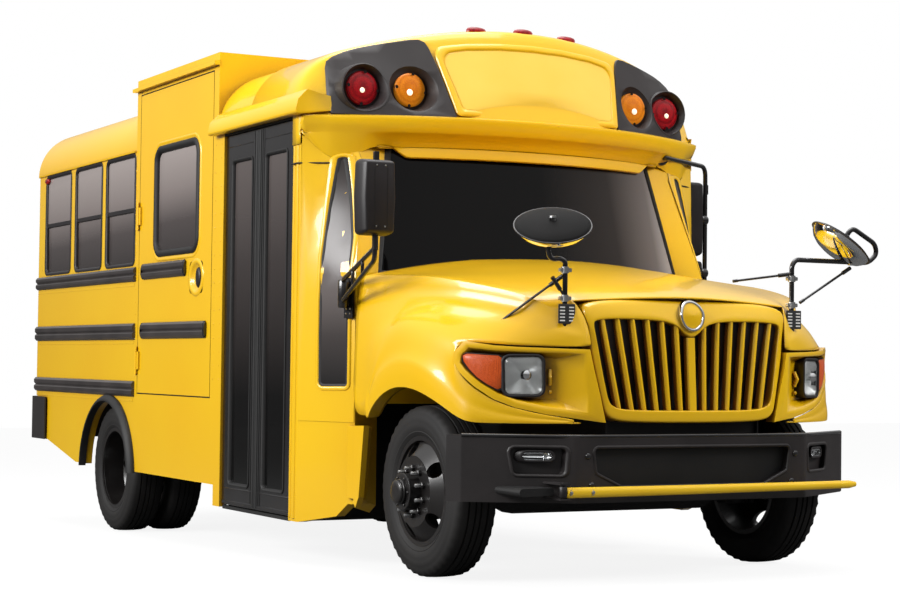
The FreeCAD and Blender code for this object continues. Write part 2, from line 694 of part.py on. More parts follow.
# outer plan of the front corner, from the door post to the windshield, by height
CORNER_LOW = [(-BODY_HALF, 1116), (-BODY_HALF, 1020), (-1062, 665), (-GLASS_LOW_HALF - 1, 712)]
CORNER_TOP = [(-BODY_HALF, 1116), (-BODY_HALF, 1020), (-942, 884), (-GLASS_TOP_HALF - 1, 874)]
QUARTER = [(-1146, 857, 897), (-1070, 686, 897), (-976, 919, 2050), (-1024, 939, 2050)]
CORNER_CUT = (300, 1000)    # how far out the corner window's cutter reaches, square to the slanted panel


def corner_sheet(inside, thick):
    """corner column between the hood's top and the cap, as a bent sheet; inside sets its face back"""
    low = ribbon(ribbon_shift(CORNER_LOW, inside), thick)
    top = ribbon(ribbon_shift(CORNER_TOP, inside), thick)
    return loft([section(low, "z", GLASS_LOW), section(top, "z", CAP_LOW)]), low


def corner_inside():
    """inner plan of the lower corner column, from the bulkhead to the door post"""
    return ribbon(CORNER_LOW, COLUMN_THICK)[len(CORNER_LOW):]


def ribbon_shift(points, by):
    """open outline moved to its left by a distance"""
    return ribbon(points, by)[len(points):][::-1] if by else points


def quarter_hole():
    """cutter for the tall narrow corner window, square to the slanted panel"""
    way = V(-0.91, -0.41, 0)
    pts = [V(*p) for p in QUARTER]
    flat = [p - way * (p.dot(way) / way.dot(way)) for p in pts]
    wire = Part.makePolygon(flat + [flat[0]])
    face = Part.Face(wire)
    face.translate(way * CORNER_CUT[0])
    return face.extrude(way * (CORNER_CUT[1] - CORNER_CUT[0]))


def corner_columns(thick=COLUMN_THICK, inside=0):
    """left-hand-side (-X) corner, from the skirt to the cap, with a hole for the corner window"""
    upper, low = corner_sheet(inside, thick)
    lower = prism(low, "z", STEP_LOW, GLASS_LOW)
    below = prism([(500, 100), (1200, 100), (1200, STEP_LOW), (1008, STEP_LOW), (770, 232), (700, 298),
                   (500, 298)], "x", -2000, 0)
    return join([upper, lower]).cut(below)


def splash_panel():
    """narrow panel that carries the fender's line on down behind the front wheel, on its web"""
    strip = prism([(445, 698), (548, 694), (554, 317), (530, 293), (494, 346)], "x", -1118, -1088)
    web = prism([(470, 690), (690, 690), (690, 330), (520, 330)], "x", -1090, -1062)
    return join([strip, web])


COWL_RADIUS = 2045
COWL_TOP = 20
BULKHEAD = (672, 706)


def cowl():
    """front of the cabin: both corner columns, the bulkhead and the cowl top"""
    column = join([corner_columns().cut(quarter_hole()), splash_panel()])
    bulkhead = box((-975, 975), BULKHEAD, (FLOOR_TOP - FLOOR_THICK, GLASS_LOW - COWL_TOP))
    top = nose_prism(COWL_RADIUS, GLASS_LOW_CENTRE, BULKHEAD[1], 930, (GLASS_LOW - COWL_TOP, GLASS_LOW))
    return join([column, mirrored(column), bulkhead, top])


def corner_glass():
    """the two tall corner windows"""
    pane = corner_columns(8, 16).common(quarter_hole())
    return both([s for s in pane.Solids])


def side_glass():
    """all the panes fixed in the body's side, two sashes a window, and the corner panes"""
    panes = []
    x = -BODY_HALF + 18
    rail = (SILL + WINDOW_TOP) / 2
    right = [(w, SILL) for w in WINDOWS]
    left = [(w, SILL) for w in list(WINDOWS) + LEFT_WINDOWS[1:]] + [(LEFT_WINDOWS[0], DRIVER_SILL)]
    for side, table in ((1, right), (-1, left)):
        for w, low in table:
            thick = (x, x + 6)
            pane = window_hole(w, (low, WINDOW_TOP), thick)
            lower = pane.common(box(thick, w, (low, rail)))
            upper = pane.common(box(thick, w, (rail, WINDOW_TOP)))
            upper.translate(V(-8, 0, 0))
            panes += [lower if side == 1 else mirrored(lower), upper if side == 1 else mirrored(upper)]
    return group(panes + corner_glass())


RUB_RAILS = ((775, 870), (1132, 1232), (1497, 1585))
RAIL_OUT = 20


def rib_rail(y, z, face, way):
    """black rub rail with two raised ribs; face is the panel it sits on, way its outside"""
    high = (z[1] - z[0]) / 2
    base = [(0, z[0]), (RAIL_OUT * 0.4, z[0]), (RAIL_OUT, z[0] + 14, 5), (RAIL_OUT, z[0] + high - 12, 5),
            (RAIL_OUT * 0.4, z[0] + high), (RAIL_OUT, z[0] + high + 12, 5), (RAIL_OUT, z[1] - 14, 5),
            (RAIL_OUT * 0.4, z[1]), (0, z[1])]
    points = [(face + way * p[0],) + tuple(p[1:]) for p in base]
    return prism(points, "y", *y)


def rub_rails():
    """rails along both sides, and across the back either side of the door"""
    rails = []
    for z in RUB_RAILS:
        rails.append(rib_rail((3540, REAR - 36), z, -BODY_HALF, -1))
        rails.append(rib_rail((DOORWAY[0] + 20, REAR - 36), z, BODY_HALF, 1))
    return group(rails)


def rear_wall():
    """flat rear panel with rounded corners, the emergency doorway and its hinge pins"""
    y = (REAR - REAR_WALL, REAR)
    plan = [(-BODY_HALF, y[0]), (BODY_HALF, y[0]), (BODY_HALF, y[1], 45), (-BODY_HALF, y[1], 45)]
    wall = prism(plan, "z", RAIL_HIGH + 2, EAVE)
    doorway = box((-REAR_DOOR_HALF - GAP, REAR_DOOR_HALF + GAP), (y[0] - 1, y[1] + 1),
                  (REAR_DOOR_LOW - GAP, REAR_DOOR_HIGH + GAP))
    panes = both([rear_pane_hole()])
    return join([cut(wall, [doorway] + panes)] + rear_hinge_pins())


REAR_PANE = ((520, 1060), (SILL, 2200))


def rear_pane_hole():
    (x0, x1), (z0, z1) = REAR_PANE
    corners = [(x0, z0, 60), (x1, z0, 60), (x1, z1, 60), (x0, z1, 60)]
    return prism(corners, "y", REAR - REAR_WALL - 1, REAR + 1)


def rear_glass():
    pane = rear_pane_hole().common(box((0, 2000), (REAR - 30, REAR - 24), (0, 3000)))
    return group(both([pane]))


# ---------------------------------------------------------------- floor, steps and seats
STEP_X = tuple(-BODY_HALF + in_from_side for in_from_side in (64, 339, 614))
STEP_Z = (310, 580)
STEP_SKIN = 25
THRESHOLD = (182, DOORWAY_LOW)
# steel plate that the lift's base stands on: x, y and thickness
LIFT_PLATE = ((-BODY_HALF + WALL + 40, -680), (2290, 3450), 4)
SILLS = (980, 2200, 2860, 3420, 4600, 5200, 5580)


def floor_plan():
    """floor outline inside the walls, following the slanted front corners"""
    inside = BODY_HALF - WALL
    rear = REAR - REAR_WALL
    corner = [p for p in corner_inside() if p[1] > BULKHEAD[1]]
    left = [(-inside, rear), (-inside, corner[-1][1])] + corner[::-1][1:]
    edge = [CORNER_LOW[-1], (CORNER_LOW[-1][0], BULKHEAD[1])]
    return left + edge + [(-x, y) for x, y in (left + edge)[::-1]]


def floor():
    """floor on its cross sills, with the two-tread stepwell at the entrance"""
    inside = BODY_HALF - WALL
    slab = prism(floor_plan(), "z", FLOOR_TOP - FLOOR_THICK, FLOOR_TOP)
    well_y = (DOORWAY[0] + 16, DOORWAY[1] - 16)
    hole = box((-inside - 1, STEP_X[2]), well_y, (0, FLOOR_TOP + 1))
    notches = [box((-inside - 1, STEP_X[0]), (DOORWAY[0] - GAP, DOORWAY[1] + GAP), (0, FLOOR_TOP + 1)),
               box((-inside - 1, -inside + 30), LIFT_DOORWAY, (0, FLOOR_TOP + 1))]
    reach = BODY_HALF - 109
    sills = [box((-reach, reach), (y - 30, y + 30), (RAIL_HIGH, FLOOR_TOP - FLOOR_THICK)) for y in SILLS]
    edge = -BODY_HALF + LEAF_RECESS
    treads = prism([
        (edge, THRESHOLD[0]), (STEP_X[0] + STEP_SKIN, THRESHOLD[0]),
        (STEP_X[0] + STEP_SKIN, STEP_Z[0] - STEP_SKIN), (STEP_X[1] + STEP_SKIN, STEP_Z[0] - STEP_SKIN),
        (STEP_X[1] + STEP_SKIN, STEP_Z[1] - STEP_SKIN), (STEP_X[2] + STEP_SKIN, STEP_Z[1] - STEP_SKIN),
        (STEP_X[2] + STEP_SKIN, FLOOR_TOP), (STEP_X[2], FLOOR_TOP), (STEP_X[2], STEP_Z[1]),
        (STEP_X[1], STEP_Z[1]), (STEP_X[1], STEP_Z[0]), (STEP_X[0], STEP_Z[0]), (STEP_X[0], THRESHOLD[1]),
        (edge, THRESHOLD[1]),
    ], "y", *well_y)
    cheek = [(STEP_X[0], THRESHOLD[0]), (STEP_X[2] + STEP_SKIN, THRESHOLD[0]),
             (STEP_X[2] + STEP_SKIN, FLOOR_TOP), (STEP_X[0], FLOOR_TOP)]
    cheeks = [prism(cheek, "y", well_y[0] - STEP_SKIN, well_y[0]),
              prism(cheek, "y", well_y[1], well_y[1] + STEP_SKIN)]
    deck = cut(join([slab] + sills), [hole] + notches)
    plate = box(LIFT_PLATE[0], LIFT_PLATE[1], (FLOOR_TOP, FLOOR_TOP + LIFT_PLATE[2]))
    return join([deck, treads, plate] + cheeks + leaf_pins(THRESHOLD[1] - 1, LEAF_LOW + PIVOT_DEEP))


SEAT_WIDE = 980
SEAT_ROWS = ((1, (1900, 2590, 3280, 3970, 4660)), (-1, (3640, 4330)))     # side, rear of each bench


def bench(side, y):
    """one bench, its high padded back and two legs; y is its front edge"""
    x0 = BODY_HALF - WALL - 5
    x = (x0 - SEAT_WIDE, x0)
    profile = [(y, 1150, 30), (y + 430, 1130, 20), (y + 500, 1150, 20), (y + 560, 1850, 35),
               (y + 480, 1850, 35), (y + 400, 1280, 30), (y, 1290, 50)]
    pad = prism(profile, "x", *x)
    legs = [box((at, at + 30), (y + 60, y + 420), (FLOOR_TOP, 1150)) for at in (x[0] + 60, x[1] - 120)]
    whole = join([pad] + legs)
    return whole if side == 1 else mirrored(whole)


def passenger_seats():
    return group([bench(side, y) for side, rows in SEAT_ROWS for y in rows])


def driver_seat():
    """driver's seat on its pedestal"""
    x = (330, 850)
    y = 1330
    pad = prism([(y, 1230, 30), (y + 470, 1210, 30), (y + 500, 1230, 20), (y + 590, 1960, 40),
                 (y + 480, 1960, 40), (y + 400, 1340, 30), (y, 1350, 40)], "x", *x)
    base = box((x[0] + 90, x[1] - 90), (y + 70, y + 430), (FLOOR_TOP, 1230))
    return join([pad, base])


def dashboard():
    """dashboard across the bulkhead with the steering column and wheel"""
    profile = [(BULKHEAD[1], 1000), (900, 1050, 30), (980, 1260, 40), (930, 1380, 40), (BULKHEAD[1], 1420)]
    desk = prism(profile, "x", -560, GLASS_LOW_HALF)
    column = rod((590, 860, 1200), (590, 1120, 1420), 35)
    tilt = FreeCAD.Rotation(V(0, 0, 1), V(0, 260, 220))
    ring = turned([(-14, 209), (0, 201), (14, 209), (14, 223), (0, 231), (-14, 223)], (0, 0, 0), "z")
    spokes = [rod((0, 0, 0), (215 * math.cos(a), 215 * math.sin(a), 0), 12)
              for a in (math.radians(d) for d in (0, 120, 240))]
    wheel = join([ring, Part.makeCylinder(50, 40, V(0, 0, -30))] + spokes)
    wheel.Placement = FreeCAD.Placement(V(590, 1120, 1420), tilt)
    return join([desk, column, wheel])


# ---------------------------------------------------------------- doors
LEAF_LOW = DOORWAY_LOW + GAP
LEAF_HIGH = DOORWAY_HIGH - 18
LEAF_WIDE = (DOORWAY[1] - DOORWAY[0] - 3 * GAP) / 2
LEAF_STILE = 95
LEAF_RAILS = (120, 150)     # heights of the frame below and above the pane
PIVOT_IN = 14               # pivot pin's distance from the leaf's outer face and edge
PIVOT_RADIUS = 9
PIVOT_DEEP = 26


def leaf_span(front):
    """where a leaf lies along Y"""
    y = DOORWAY[0] + GAP if front else DOORWAY[1] - GAP - LEAF_WIDE
    return y, y + LEAF_WIDE


def pivot(front):
    """plan place of a leaf's upright hinge line, near its outer edge"""
    y = leaf_span(front)
    return -BODY_HALF + LEAF_RECESS + PIVOT_IN, y[0] + PIVOT_IN if front else y[1] - PIVOT_IN


def leaf_pins(low, high):
    """the two leaves' fixed pivot pins between two heights"""
    return [rod((*pivot(front), low), (*pivot(front), high), PIVOT_RADIUS) for front in (True, False)]


def leaf_opening(front, x):
    """the pane's space in a leaf"""
    y = leaf_span(front)
    a, b = y[0] + LEAF_STILE, y[1] - LEAF_STILE
    c, d = LEAF_LOW + LEAF_RAILS[0], LEAF_HIGH - LEAF_RAILS[1]
    return prism([(a, c, 20), (b, c, 20), (b, d, 20), (a, d, 20)], "x", *x)


def door_leaf(front):
    """black entrance leaf: frame round a full-height pane, with its pivot holes"""
    x = (-BODY_HALF + LEAF_RECESS, -BODY_HALF + LEAF_RECESS + LEAF_THICK)
    slab = box(x, leaf_span(front), (LEAF_LOW, LEAF_HIGH))
    at = pivot(front)
    bore = PIVOT_RADIUS + RUNNING
    bores = [rod((*at, LEAF_LOW - 1), (*at, LEAF_LOW + PIVOT_DEEP + 2), bore),
             rod((*at, LEAF_HIGH - PIVOT_DEEP - 2), (*at, LEAF_HIGH + 1), bore)]
    return cut(slab, [leaf_opening(front, (x[0] - 1, x[1] + 1))] + bores)


def door_pane(front):
    x = -BODY_HALF + LEAF_RECESS + 14
    return leaf_opening(front, (x, x + 6))


LIFT_HINGES = (1000, 1900)
HINGE_LONG = 110
HINGE_RADIUS = 9
HINGE_PIN = 5
HINGE_OUT = 10              # barrel axis outside the body side


def lift_axis():
    return -BODY_HALF - HINGE_OUT, LIFT_DOORWAY[1] - GAP / 2


def lift_hinge_pins():
    """fixed halves of the lift door's hinges: pin with a short knuckle above and below"""
    x, y = lift_axis()
    parts = []
    for z in LIFT_HINGES:
        half = HINGE_LONG / 2
        parts.append(rod((x, y, z - half - 31), (x, y, z + half + 31), HINGE_PIN))
        for low in (z - half - 31, z + half + 1):
            parts.append(rod((x, y, low), (x, y, low + 30), HINGE_RADIUS))
            parts.append(box((x, -BODY_HALF + 2), (y + 2, y + 30), (low, low + 30)))
    return parts


def hinge_cut_and_add(leaf, x, y, z, inward):
    """moving half of a hinge, joined to a leaf by a strap"""
    half = HINGE_LONG / 2
    knuckle_part = rod((x, y, z - half), (x, y, z + half), HINGE_RADIUS)
    bore = rod((x, y, z - half - 1), (x, y, z + half + 1), HINGE_PIN + RUNNING)
    return join([leaf, knuckle_part, inward]).cut(bore)


def lift_door():
    """wide flush lift door with its window hole, recessed handle pocket and two rub rails' seats"""
    x = (-BODY_HALF, -BODY_HALF + 40)
    y = (LIFT_DOORWAY[0] + GAP, LIFT_DOORWAY[1] - GAP)
    z = (LIFT_LOW, LIFT_HIGH)
    slab = box(x, y, z)
    hole = window_hole(LIFT_WINDOW[0], LIFT_WINDOW[1], (x[0] - 1, x[1] + 1), 70)
    pocket = window_hole((2385, 2600), (1394, 1582), (x[0] - 1, x[0] + 24), 30)
    leaf = cut(slab, [hole, pocket])
    hx, hy = lift_axis()
    for at in LIFT_HINGES:
        half = HINGE_LONG / 2
        strap = box((hx, -BODY_HALF + 2), (hy - 40, hy - 2), (at - half, at + half))
        leaf = hinge_cut_and_add(leaf, hx, hy, at, strap)
    return leaf


LIFT_WINDOW = ((2490, 3190), (1660, 2280))
LIFT_RAILS = (((2670, 3395), (1503, 1598)), ((2330, 3395), (1136, 1233)))


def lift_door_glass():
    x = -BODY_HALF + 14
    return window_hole(LIFT_WINDOW[0], LIFT_WINDOW[1], (x, x + 6), 70)


def lift_door_rails():
    return group([rib_rail(y, z, -BODY_HALF, -1) for y, z in LIFT_RAILS])


REAR_HINGES = (1000, 2050)


def rear_axis():
    return -REAR_DOOR_HALF - GAP / 2, REAR + HINGE_OUT


def rear_hinge_pins():
    x, y = rear_axis()
    parts = []
    half = HINGE_LONG / 2
    for z in REAR_HINGES:
        parts.append(rod((x, y, z - half - 31), (x, y, z + half + 31), HINGE_PIN))
        for low in (z - half - 31, z + half + 1):
            parts.append(rod((x, y, low), (x, y, low + 30), HINGE_RADIUS))
            parts.append(box((x - 30, x - 4.1), (REAR - 2, y), (low, low + 30)))
    return parts


REAR_DOOR_PANES = ((1100, 1480), (1603, 2150))


def rear_door_holes(y):
    half = REAR_DOOR_HALF - 110
    return [prism([(-half, a, 50), (half, a, 50), (half, b, 50), (-half, b, 50)], "y", *y)
            for a, b in REAR_DOOR_PANES]


def rear_door():
    y = (REAR - 45, REAR)
    slab = box((-REAR_DOOR_HALF, REAR_DOOR_HALF), y, (REAR_DOOR_LOW, REAR_DOOR_HIGH))
    leaf = cut(slab, rear_door_holes((y[0] - 1, y[1] + 1)))
    hx, hy = rear_axis()
    half = HINGE_LONG / 2
    for at in REAR_HINGES:
        strap = box((hx + 2, hx + 40), (REAR - 2, hy), (at - half, at + half))
        leaf = hinge_cut_and_add(leaf, hx, hy, at, strap)
    return leaf


def rear_door_glass():
    return group(rear_door_holes((REAR - 28, REAR - 22)))


# ---------------------------------------------------------------- hood
# hood sections by y: lower side, upper side, shoulder, quarter and crown, as (x, z)
BONNET = (
    (-735, (470, 730), (545, 1190), (520, 1292), (260, 1322), (0, 1330)),
    (-300, (640, 730), (760, 1200), (735, 1368), (380, 1430), (0, 1446)),
    (SEAM, (1040, 730), (1062, 1420), (930, 1462), (440, 1545), (0, 1566)),
)
# fender: side view, plan and front view of the space it fills
FENDER_SIDE = [(-745, 740), (-745, 1120, 80), (-420, 1160, 300), (-60, 1260, 400), (330, 1230, 300),
               (560, 1000, 200), (600, 740)]
FENDER_PLAN = [(300, -735), (560, -720, 60), (1030, -470, 200), (1110, -200, 300), (1110, 300, 300),
               (1060, 600), (300, 600)]
FENDER_FRONT = [(300, 740), (1130, 740), (1130, 1020, 60), (1060, 1160, 60), (900, 1262, 120), (300, 1300)]
FRONT_ARCH = (33, 303, 594)
FLARE = (33, 590, 440)      # centre and radius of the raised band round the arch
FLARE_X = (1096, 1122)
HOOD_OPEN = 600             # the hollow runs out through the bottom, down to this z
# headlamp pocket: front view, and how deep it lies behind the fender's face
POCKET = [(560, 880, 40), (585, 1088, 30), (1040, 1112, 40), (1066, 975, 60), (900, 850, 90),
          (640, 765, 40)]
POCKET_DEEP = 30


def bonnet(skin):
    """central part of the hood, moved inwards by skin"""
    wires = []
    for y, *half in BONNET:
        points = [(x, z) for x, z in half] + [(-x, z) for x, z in half[-2::-1]]
        points = inset(points, skin)
        at = y + (skin if y == BONNET[0][0] else 0) + (1 if skin and y == SEAM else 0)
        for i in (0, -1):
            points[i] = (points[i][0], points[i][1] - 2 * skin)
        wires.append(section(points, "y", at))
    return loft(wires)


def open_below(points, skin):
    """view of the hollow inside the skin: its low corners drop through the bottom"""
    moved = inset(points, skin)
    return [(p[0], HOOD_OPEN) if p[1] < 740 + skin + 1 else p for p in moved] if skin else moved


def fender(skin):
    """one front fender (+X) as the space common to its three views"""
    side = open_below(FENDER_SIDE, skin)
    front = open_below(FENDER_FRONT, skin)
    plan = inset(FENDER_PLAN, skin)
    whole = prism(side, "x", 0, 1300).common(prism(plan, "z", HOOD_OPEN, 1500))
    return whole.common(prism(front, "y", -900, 900))


def flare():
    """raised band round the left front arch"""
    y, z, radius = FLARE
    return arch(FLARE_X, y, z, radius).common(box(FLARE_X, (y - radius, y + radius), (740, z + radius)))


def pocket(deep, grow):
    """space of the left headlamp's pocket, to a depth behind the fender's face"""
    front = prism(inset(POCKET, -grow), "y", -900, 0)
    return front.cut(prism(inset(FENDER_PLAN, deep), "z", 500, 1500))


def hood():
    """tilting hood and fenders in one moulding, hollow, with the grille opening and the wheel arches"""
    outer = join([bonnet(0)] + both([fender(0), flare()]))
    inner = join([bonnet(HOOD_SKIN)] + both([fender(HOOD_SKIN)]))
    y, z, r = FRONT_ARCH
    arches = both([arch((560, 1400), y, z, r)])
    back = box((-2000, 2000), (500, 900), (1380, 1800)).common(
        nose_prism(COWL_RADIUS + 12, GLASS_LOW_CENTRE, 900, 1500, (1380, 1800)))
    buckets = [space.common(outer) for space in both([
        lamp_space(-700, HEADLAMP[1] + 10, 12), pocket(POCKET_DEEP + HOOD_SKIN - 10, 12)])]
    shell = join([cut(outer, [inner] + arches + [back])] + buckets)
    pockets = both([lamp_space(-900, HEADLAMP[1], 0), pocket(POCKET_DEEP, 0)])
    reliefs = both([box(*HOOD_RELIEF)])
    return join([cut(shell, [grille_space(0)] + pockets + reliefs)] + both([hood_eye()]))


GRILLE_LOW = (447, 807)


def grille_outline(grow=0):
    """opening in the nose: straight sides leaning in downwards and a shallow V at the top"""
    points = [(-GRILLE_LOW[0], GRILLE_LOW[1], 40), (GRILLE_LOW[0], GRILLE_LOW[1], 40), (528, 1219, 20),
              (110, 1219, 40), (0, 1131, 30), (-110, 1219, 40), (-528, 1219, 20)]
    return inset(points, -grow)


def grille_space(grow=0):
    return prism(grille_outline(grow), "y", -800, -680)


def grille():
    """thirteen upright bars in a thin surround; the middle one is wide"""
    frame = cut(prism(grille_outline(), "y", -740, -700), [prism(grille_outline(-14), "y", -741, -699)])
    opening = prism(grille_outline(-8), "y", -735, -705)
    bars = []
    for n in range(-6, 7):
        top = n * 79
        low = n * 66
        half = 22 if n == 0 else 12
        bars.append(prism([(low - half, 780), (low + half, 780), (top + half, 1240), (top - half, 1240)],
                          "y", -735, -705).common(opening))
    return join([frame] + bars)


HEADLAMP = (794, -500, 955)     # x, back and z of the left one
HEADLAMP_HALF = (95, 75)
HEADLAMP_DEEP = 100
TURN_LAMP = [(906, 893, 20), (902, 1050, 20), (1046, 1064, 20), (1050, 960, 60)]
TURN_LAMP_OUT = 6           # how far its lens lies behind the fender's face


def lamp_space(front, back, grow):
    """left headlamp's outline between two y"""
    x, _, z = HEADLAMP
    a, b = HEADLAMP_HALF[0] + grow, HEADLAMP_HALF[1] + grow
    r = 25 + grow
    corners = [(x - a, z - b, r), (x + a, z - b, r), (x + a, z + b, r), (x - a, z + b, r)]
    return prism(corners, "y", front, back)


def headlamps():
    """rectangular headlamps, and the turn lamps outboard of them in the same pockets"""
    head = lamp_space(HEADLAMP[1] - HEADLAMP_DEEP, HEADLAMP[1], 0)
    slab = prism(inset(FENDER_PLAN, TURN_LAMP_OUT), "z", 500, 1500)
    floor_plane = prism(inset(FENDER_PLAN, POCKET_DEEP), "z", 500, 1500)
    turn = prism(TURN_LAMP, "y", -900, 0).common(slab).cut(floor_plane)
    return group(both([head, turn]))


# ---------------------------------------------------------------- bumpers, lamps, mirrors
BUMPER_FRONT = -752
BUMPER_POCKET = 46          # depth of the slot and the lamp pockets


def front_bumper():
    """deep bumper with swept ends, a centre air slot and two lamp pockets"""
    half = [(1130, -430), (1080, -480, 40), (640, BUMPER_FRONT, 60)]
    inner_half = [(600, FRAME_FRONT, 60), (1060, -430)]
    plan = ([(-p[0],) + p[1:] for p in half] + half[::-1]
            + inner_half[::-1] + [(-p[0],) + p[1:] for p in inner_half])
    bar = prism(plan, "z", 390, 690)
    slot = prism([(-400, 462, 20), (400, 462, 20), (535, 524, 20), (550, 636, 20), (-550, 636, 20),
                  (-535, 524, 20)], "y", -900, BUMPER_FRONT + BUMPER_POCKET)
    behind = prism(inset(plan, BUMPER_POCKET), "z", 300, 800)
    fog = prism([(680, 513, 20), (880, 513, 20), (900, 637, 20), (672, 637, 20)], "y", -900, -480)
    return join([cut(bar, [slot] + both([fog.cut(behind)])), gate_bracket()])


GATE_PIN = 8


def gate_bracket():
    """short fork on the bumper's face that holds the crossing gate's upright pin"""
    gx, gy = GATE_PIVOT
    arms = [box((gx - 26, gx + 26), (gy - 20, -680), (z, z + 8)) for z in (GATE_Z - 38, GATE_Z + 30)]
    pin = rod((gx, gy, GATE_Z - 36), (gx, gy, GATE_Z + 36), GATE_PIN)
    return join(arms + [pin])


GATE_REACH = 1650
GATE_RADIUS = 17


def crossing_gate():
    """yellow arm that lies along the bumper and swings out ahead"""
    gx, gy = GATE_PIVOT
    boss = rod((gx, gy, GATE_Z - 26), (gx, gy, GATE_Z + 26), 19)
    arm = rod((gx, gy, GATE_Z), (gx + GATE_REACH, gy, GATE_Z), GATE_RADIUS)
    bore = rod((gx, gy, GATE_Z - 40), (gx, gy, GATE_Z + 40), GATE_PIN + RUNNING)
    return join([boss, arm]).cut(bore)


def rear_bumper():
    """wrap-round rear bumper bolted to the rails"""
    half = BODY_HALF + 22
    ends, back, plate = REAR - 315, REAR + 65, 10
    outer = [(-half, ends), (-half, back, 90), (half, back, 90), (half, ends), (half - plate, ends),
             (half - plate, back - plate, 80), (-half + plate, back - plate, 80), (-half + plate, ends)]
    return prism(outer, "z", 434, 734)


LAMP_RADIUS = 88
# centre of each front lens, and how far its round housing stands ahead of it
FRONT_LAMPS = ((940, 880, 2420, 20), (689, 830, 2423, 120))
HOUSING = 124               # inner radius of that housing
LENS_DEEP = 30
REAR_LAMPS = ((940, REAR + 14, 2420), (690, REAR + 14, 2420))


def warning_lamps():
    """eight round lenses, two a side front and rear"""
    lamps = [rod((x, y, z), (x, y + LENS_DEEP, z), LAMP_RADIUS) for x, y, z, _ in FRONT_LAMPS]
    for x, y, z in REAR_LAMPS:
        lamps.append(rod((x, REAR, z), (x, y, z), LAMP_RADIUS))
    return group(both(lamps))


def cap_solid():
    """the cap's outer form without its hollow, for seating what it carries"""
    half = BODY_HALF + 8
    face_space = nose_prism(NOSE_RADIUS, NOSE_CENTRE, CAP_REAR, half, (CAP_FACE_LOW, 3000), CAP_LEAN)
    upper = join([roof_prism((0, CAP_REAR), 8), box((-half, half), (0, CAP_REAR), (CAP_FACE_LOW, EAVE))])
    return upper.common(face_space)


def marker_lamps():
    """small clearance lamps on the cap's top, the roof's rear corners and the sides"""
    lamps = []
    solid = cap_solid()
    for x in (0, -279, 279):
        lamp = prism([(x - 60, CROWN - 75), (x + 60, CROWN - 75), (x + 60, CROWN + 37, 14),
                      (x - 60, CROWN + 37, 14)], "y", 980, 1040)
        lamps += lamp.cut(solid).Solids[:1]
    for x in (-279, 0, 279):
        lamps.append(box((x - 50, x + 50), (REAR, REAR + 20), (2420, 2460)))
    side = box((BODY_HALF, BODY_HALF + 14), (5430, 5520), (2250, 2290))
    lamps += both([side])
    return group(lamps)


TAIL_LAMPS = ((960, 1060, 90), (960, 1250, 60), (740, 1060, 90))


def tail_lamps():
    """stop, tail and turn lamps on the rear wall"""
    return group(both([rod((x, REAR, z), (x, REAR + 16, z), r) for x, z, r in TAIL_LAMPS]))


MIRROR_ARM = 12             # radius of the mirrors' tubes
CURB_MIRROR = ((-1300, -1110), (60, 170), (1611, 1976))
DRIVER_MIRROR = ((1236, 1372), (1020, 1100), (1640, 2070))
FOOT_AT = 45                # along the corner panel from its front edge
FOOT_Z = (1300, 1480)


def corner_foot():
    """plate on the curb-side corner panel that carries the mirror's arm, and its outer face's middle"""
    edge, back = V(*CORNER_LOW[2]), V(*CORNER_LOW[1])
    along = (back - edge).normalize()
    out = V(-along.y, along.x, 0)
    at = edge + along * FOOT_AT
    a, b = at - along * 32, at + along * 32
    c, d = b + out * 14, a + out * 14
    plate = prism([(p.x, p.y) for p in (a, b, c, d)], "z", *FOOT_Z)
    middle = at + out * 14
    return plate, middle


def side_mirrors():
    """flat mirrors: the curb-side one stands ahead on a twin-tube arm, the other on a loop of tube"""
    x, y, z = CURB_MIRROR
    post = ((x[0] + x[1]) / 2, (y[0] + y[1]) / 2)
    head = prism([(x[0], y[0], 20), (x[1], y[0], 20), (x[1], y[1], 40), (x[0], y[1], 40)], "z", *z)
    plate, foot = corner_foot()
    arms = [pipe([(*post, z[0] + 2), (*post, z[0] - drop), (foot.x, foot.y, at)], MIRROR_ARM)
            for drop, at in ((40, FOOT_Z[1] - 30), (90, FOOT_Z[0] + 30))]
    curb = join([head, plate] + arms)
    x, y, z = DRIVER_MIRROR
    post = ((x[0] + x[1]) / 2, (y[0] + y[1]) / 2)
    other = prism([(x[0], y[0], 40), (x[1], y[0], 40), (x[1], y[1], 20), (x[0], y[1], 20)], "z", *z)
    root_y = NOSE_CENTRE - math.sqrt((NOSE_RADIUS - 20) ** 2 - 900 ** 2)
    bends = [(900, root_y, 2165), (900, root_y - 30, 2165), (*post, 2165), (*post, z[1] - 2)]
    loop = pipe(bends, MIRROR_ARM)
    loop = loop.cut(front_cap())
    return group([curb, join([other, loop])])


CROSSVIEW_FOOT = (610, -560)    # where the post meets the hood
DISH_RADIUS = 240


def crossview_mirrors():
    """convex ovals on posts at the hood's front corners"""
    x, y = CROSSVIEW_FOOT
    post = pipe([(x, y, 1200), (x, y, 1560), (x + 45, y - 20, 1640)], MIRROR_ARM)
    post = post.cut(join([bonnet(0), fender(0)]))
    centre = V(x + 55, y - 20, 1690)
    oval = Part.Face(Part.Wire(Part.Ellipse(V(0, 0, 0), 150, 90).toShape()))
    oval.rotate(V(0, 0, 0), V(1, 0, 0), 90)
    oval.translate(centre + V(0, 60, 0))
    dish = oval.extrude(V(0, -120, 0))
    for way in (-1, 1):
        dish = dish.common(Part.makeSphere(DISH_RADIUS, centre + V(0, way * (DISH_RADIUS - 55), 0)))
    return group(both([join([post, dish])]))


def arch_flares():
    """black rubber lips round the rear arches"""
    y, z, r = REAR_ARCH
    ring = cut(rod((BODY_HALF, y, z), (BODY_HALF + 45, y, z), r + 35),
               [rod((BODY_HALF - 1, y, z), (BODY_HALF + 46, y, z), r),
                box((0, 3000), (y - 900, y + 900), (z - 900, SKIRT))])
    return group(both([ring]))


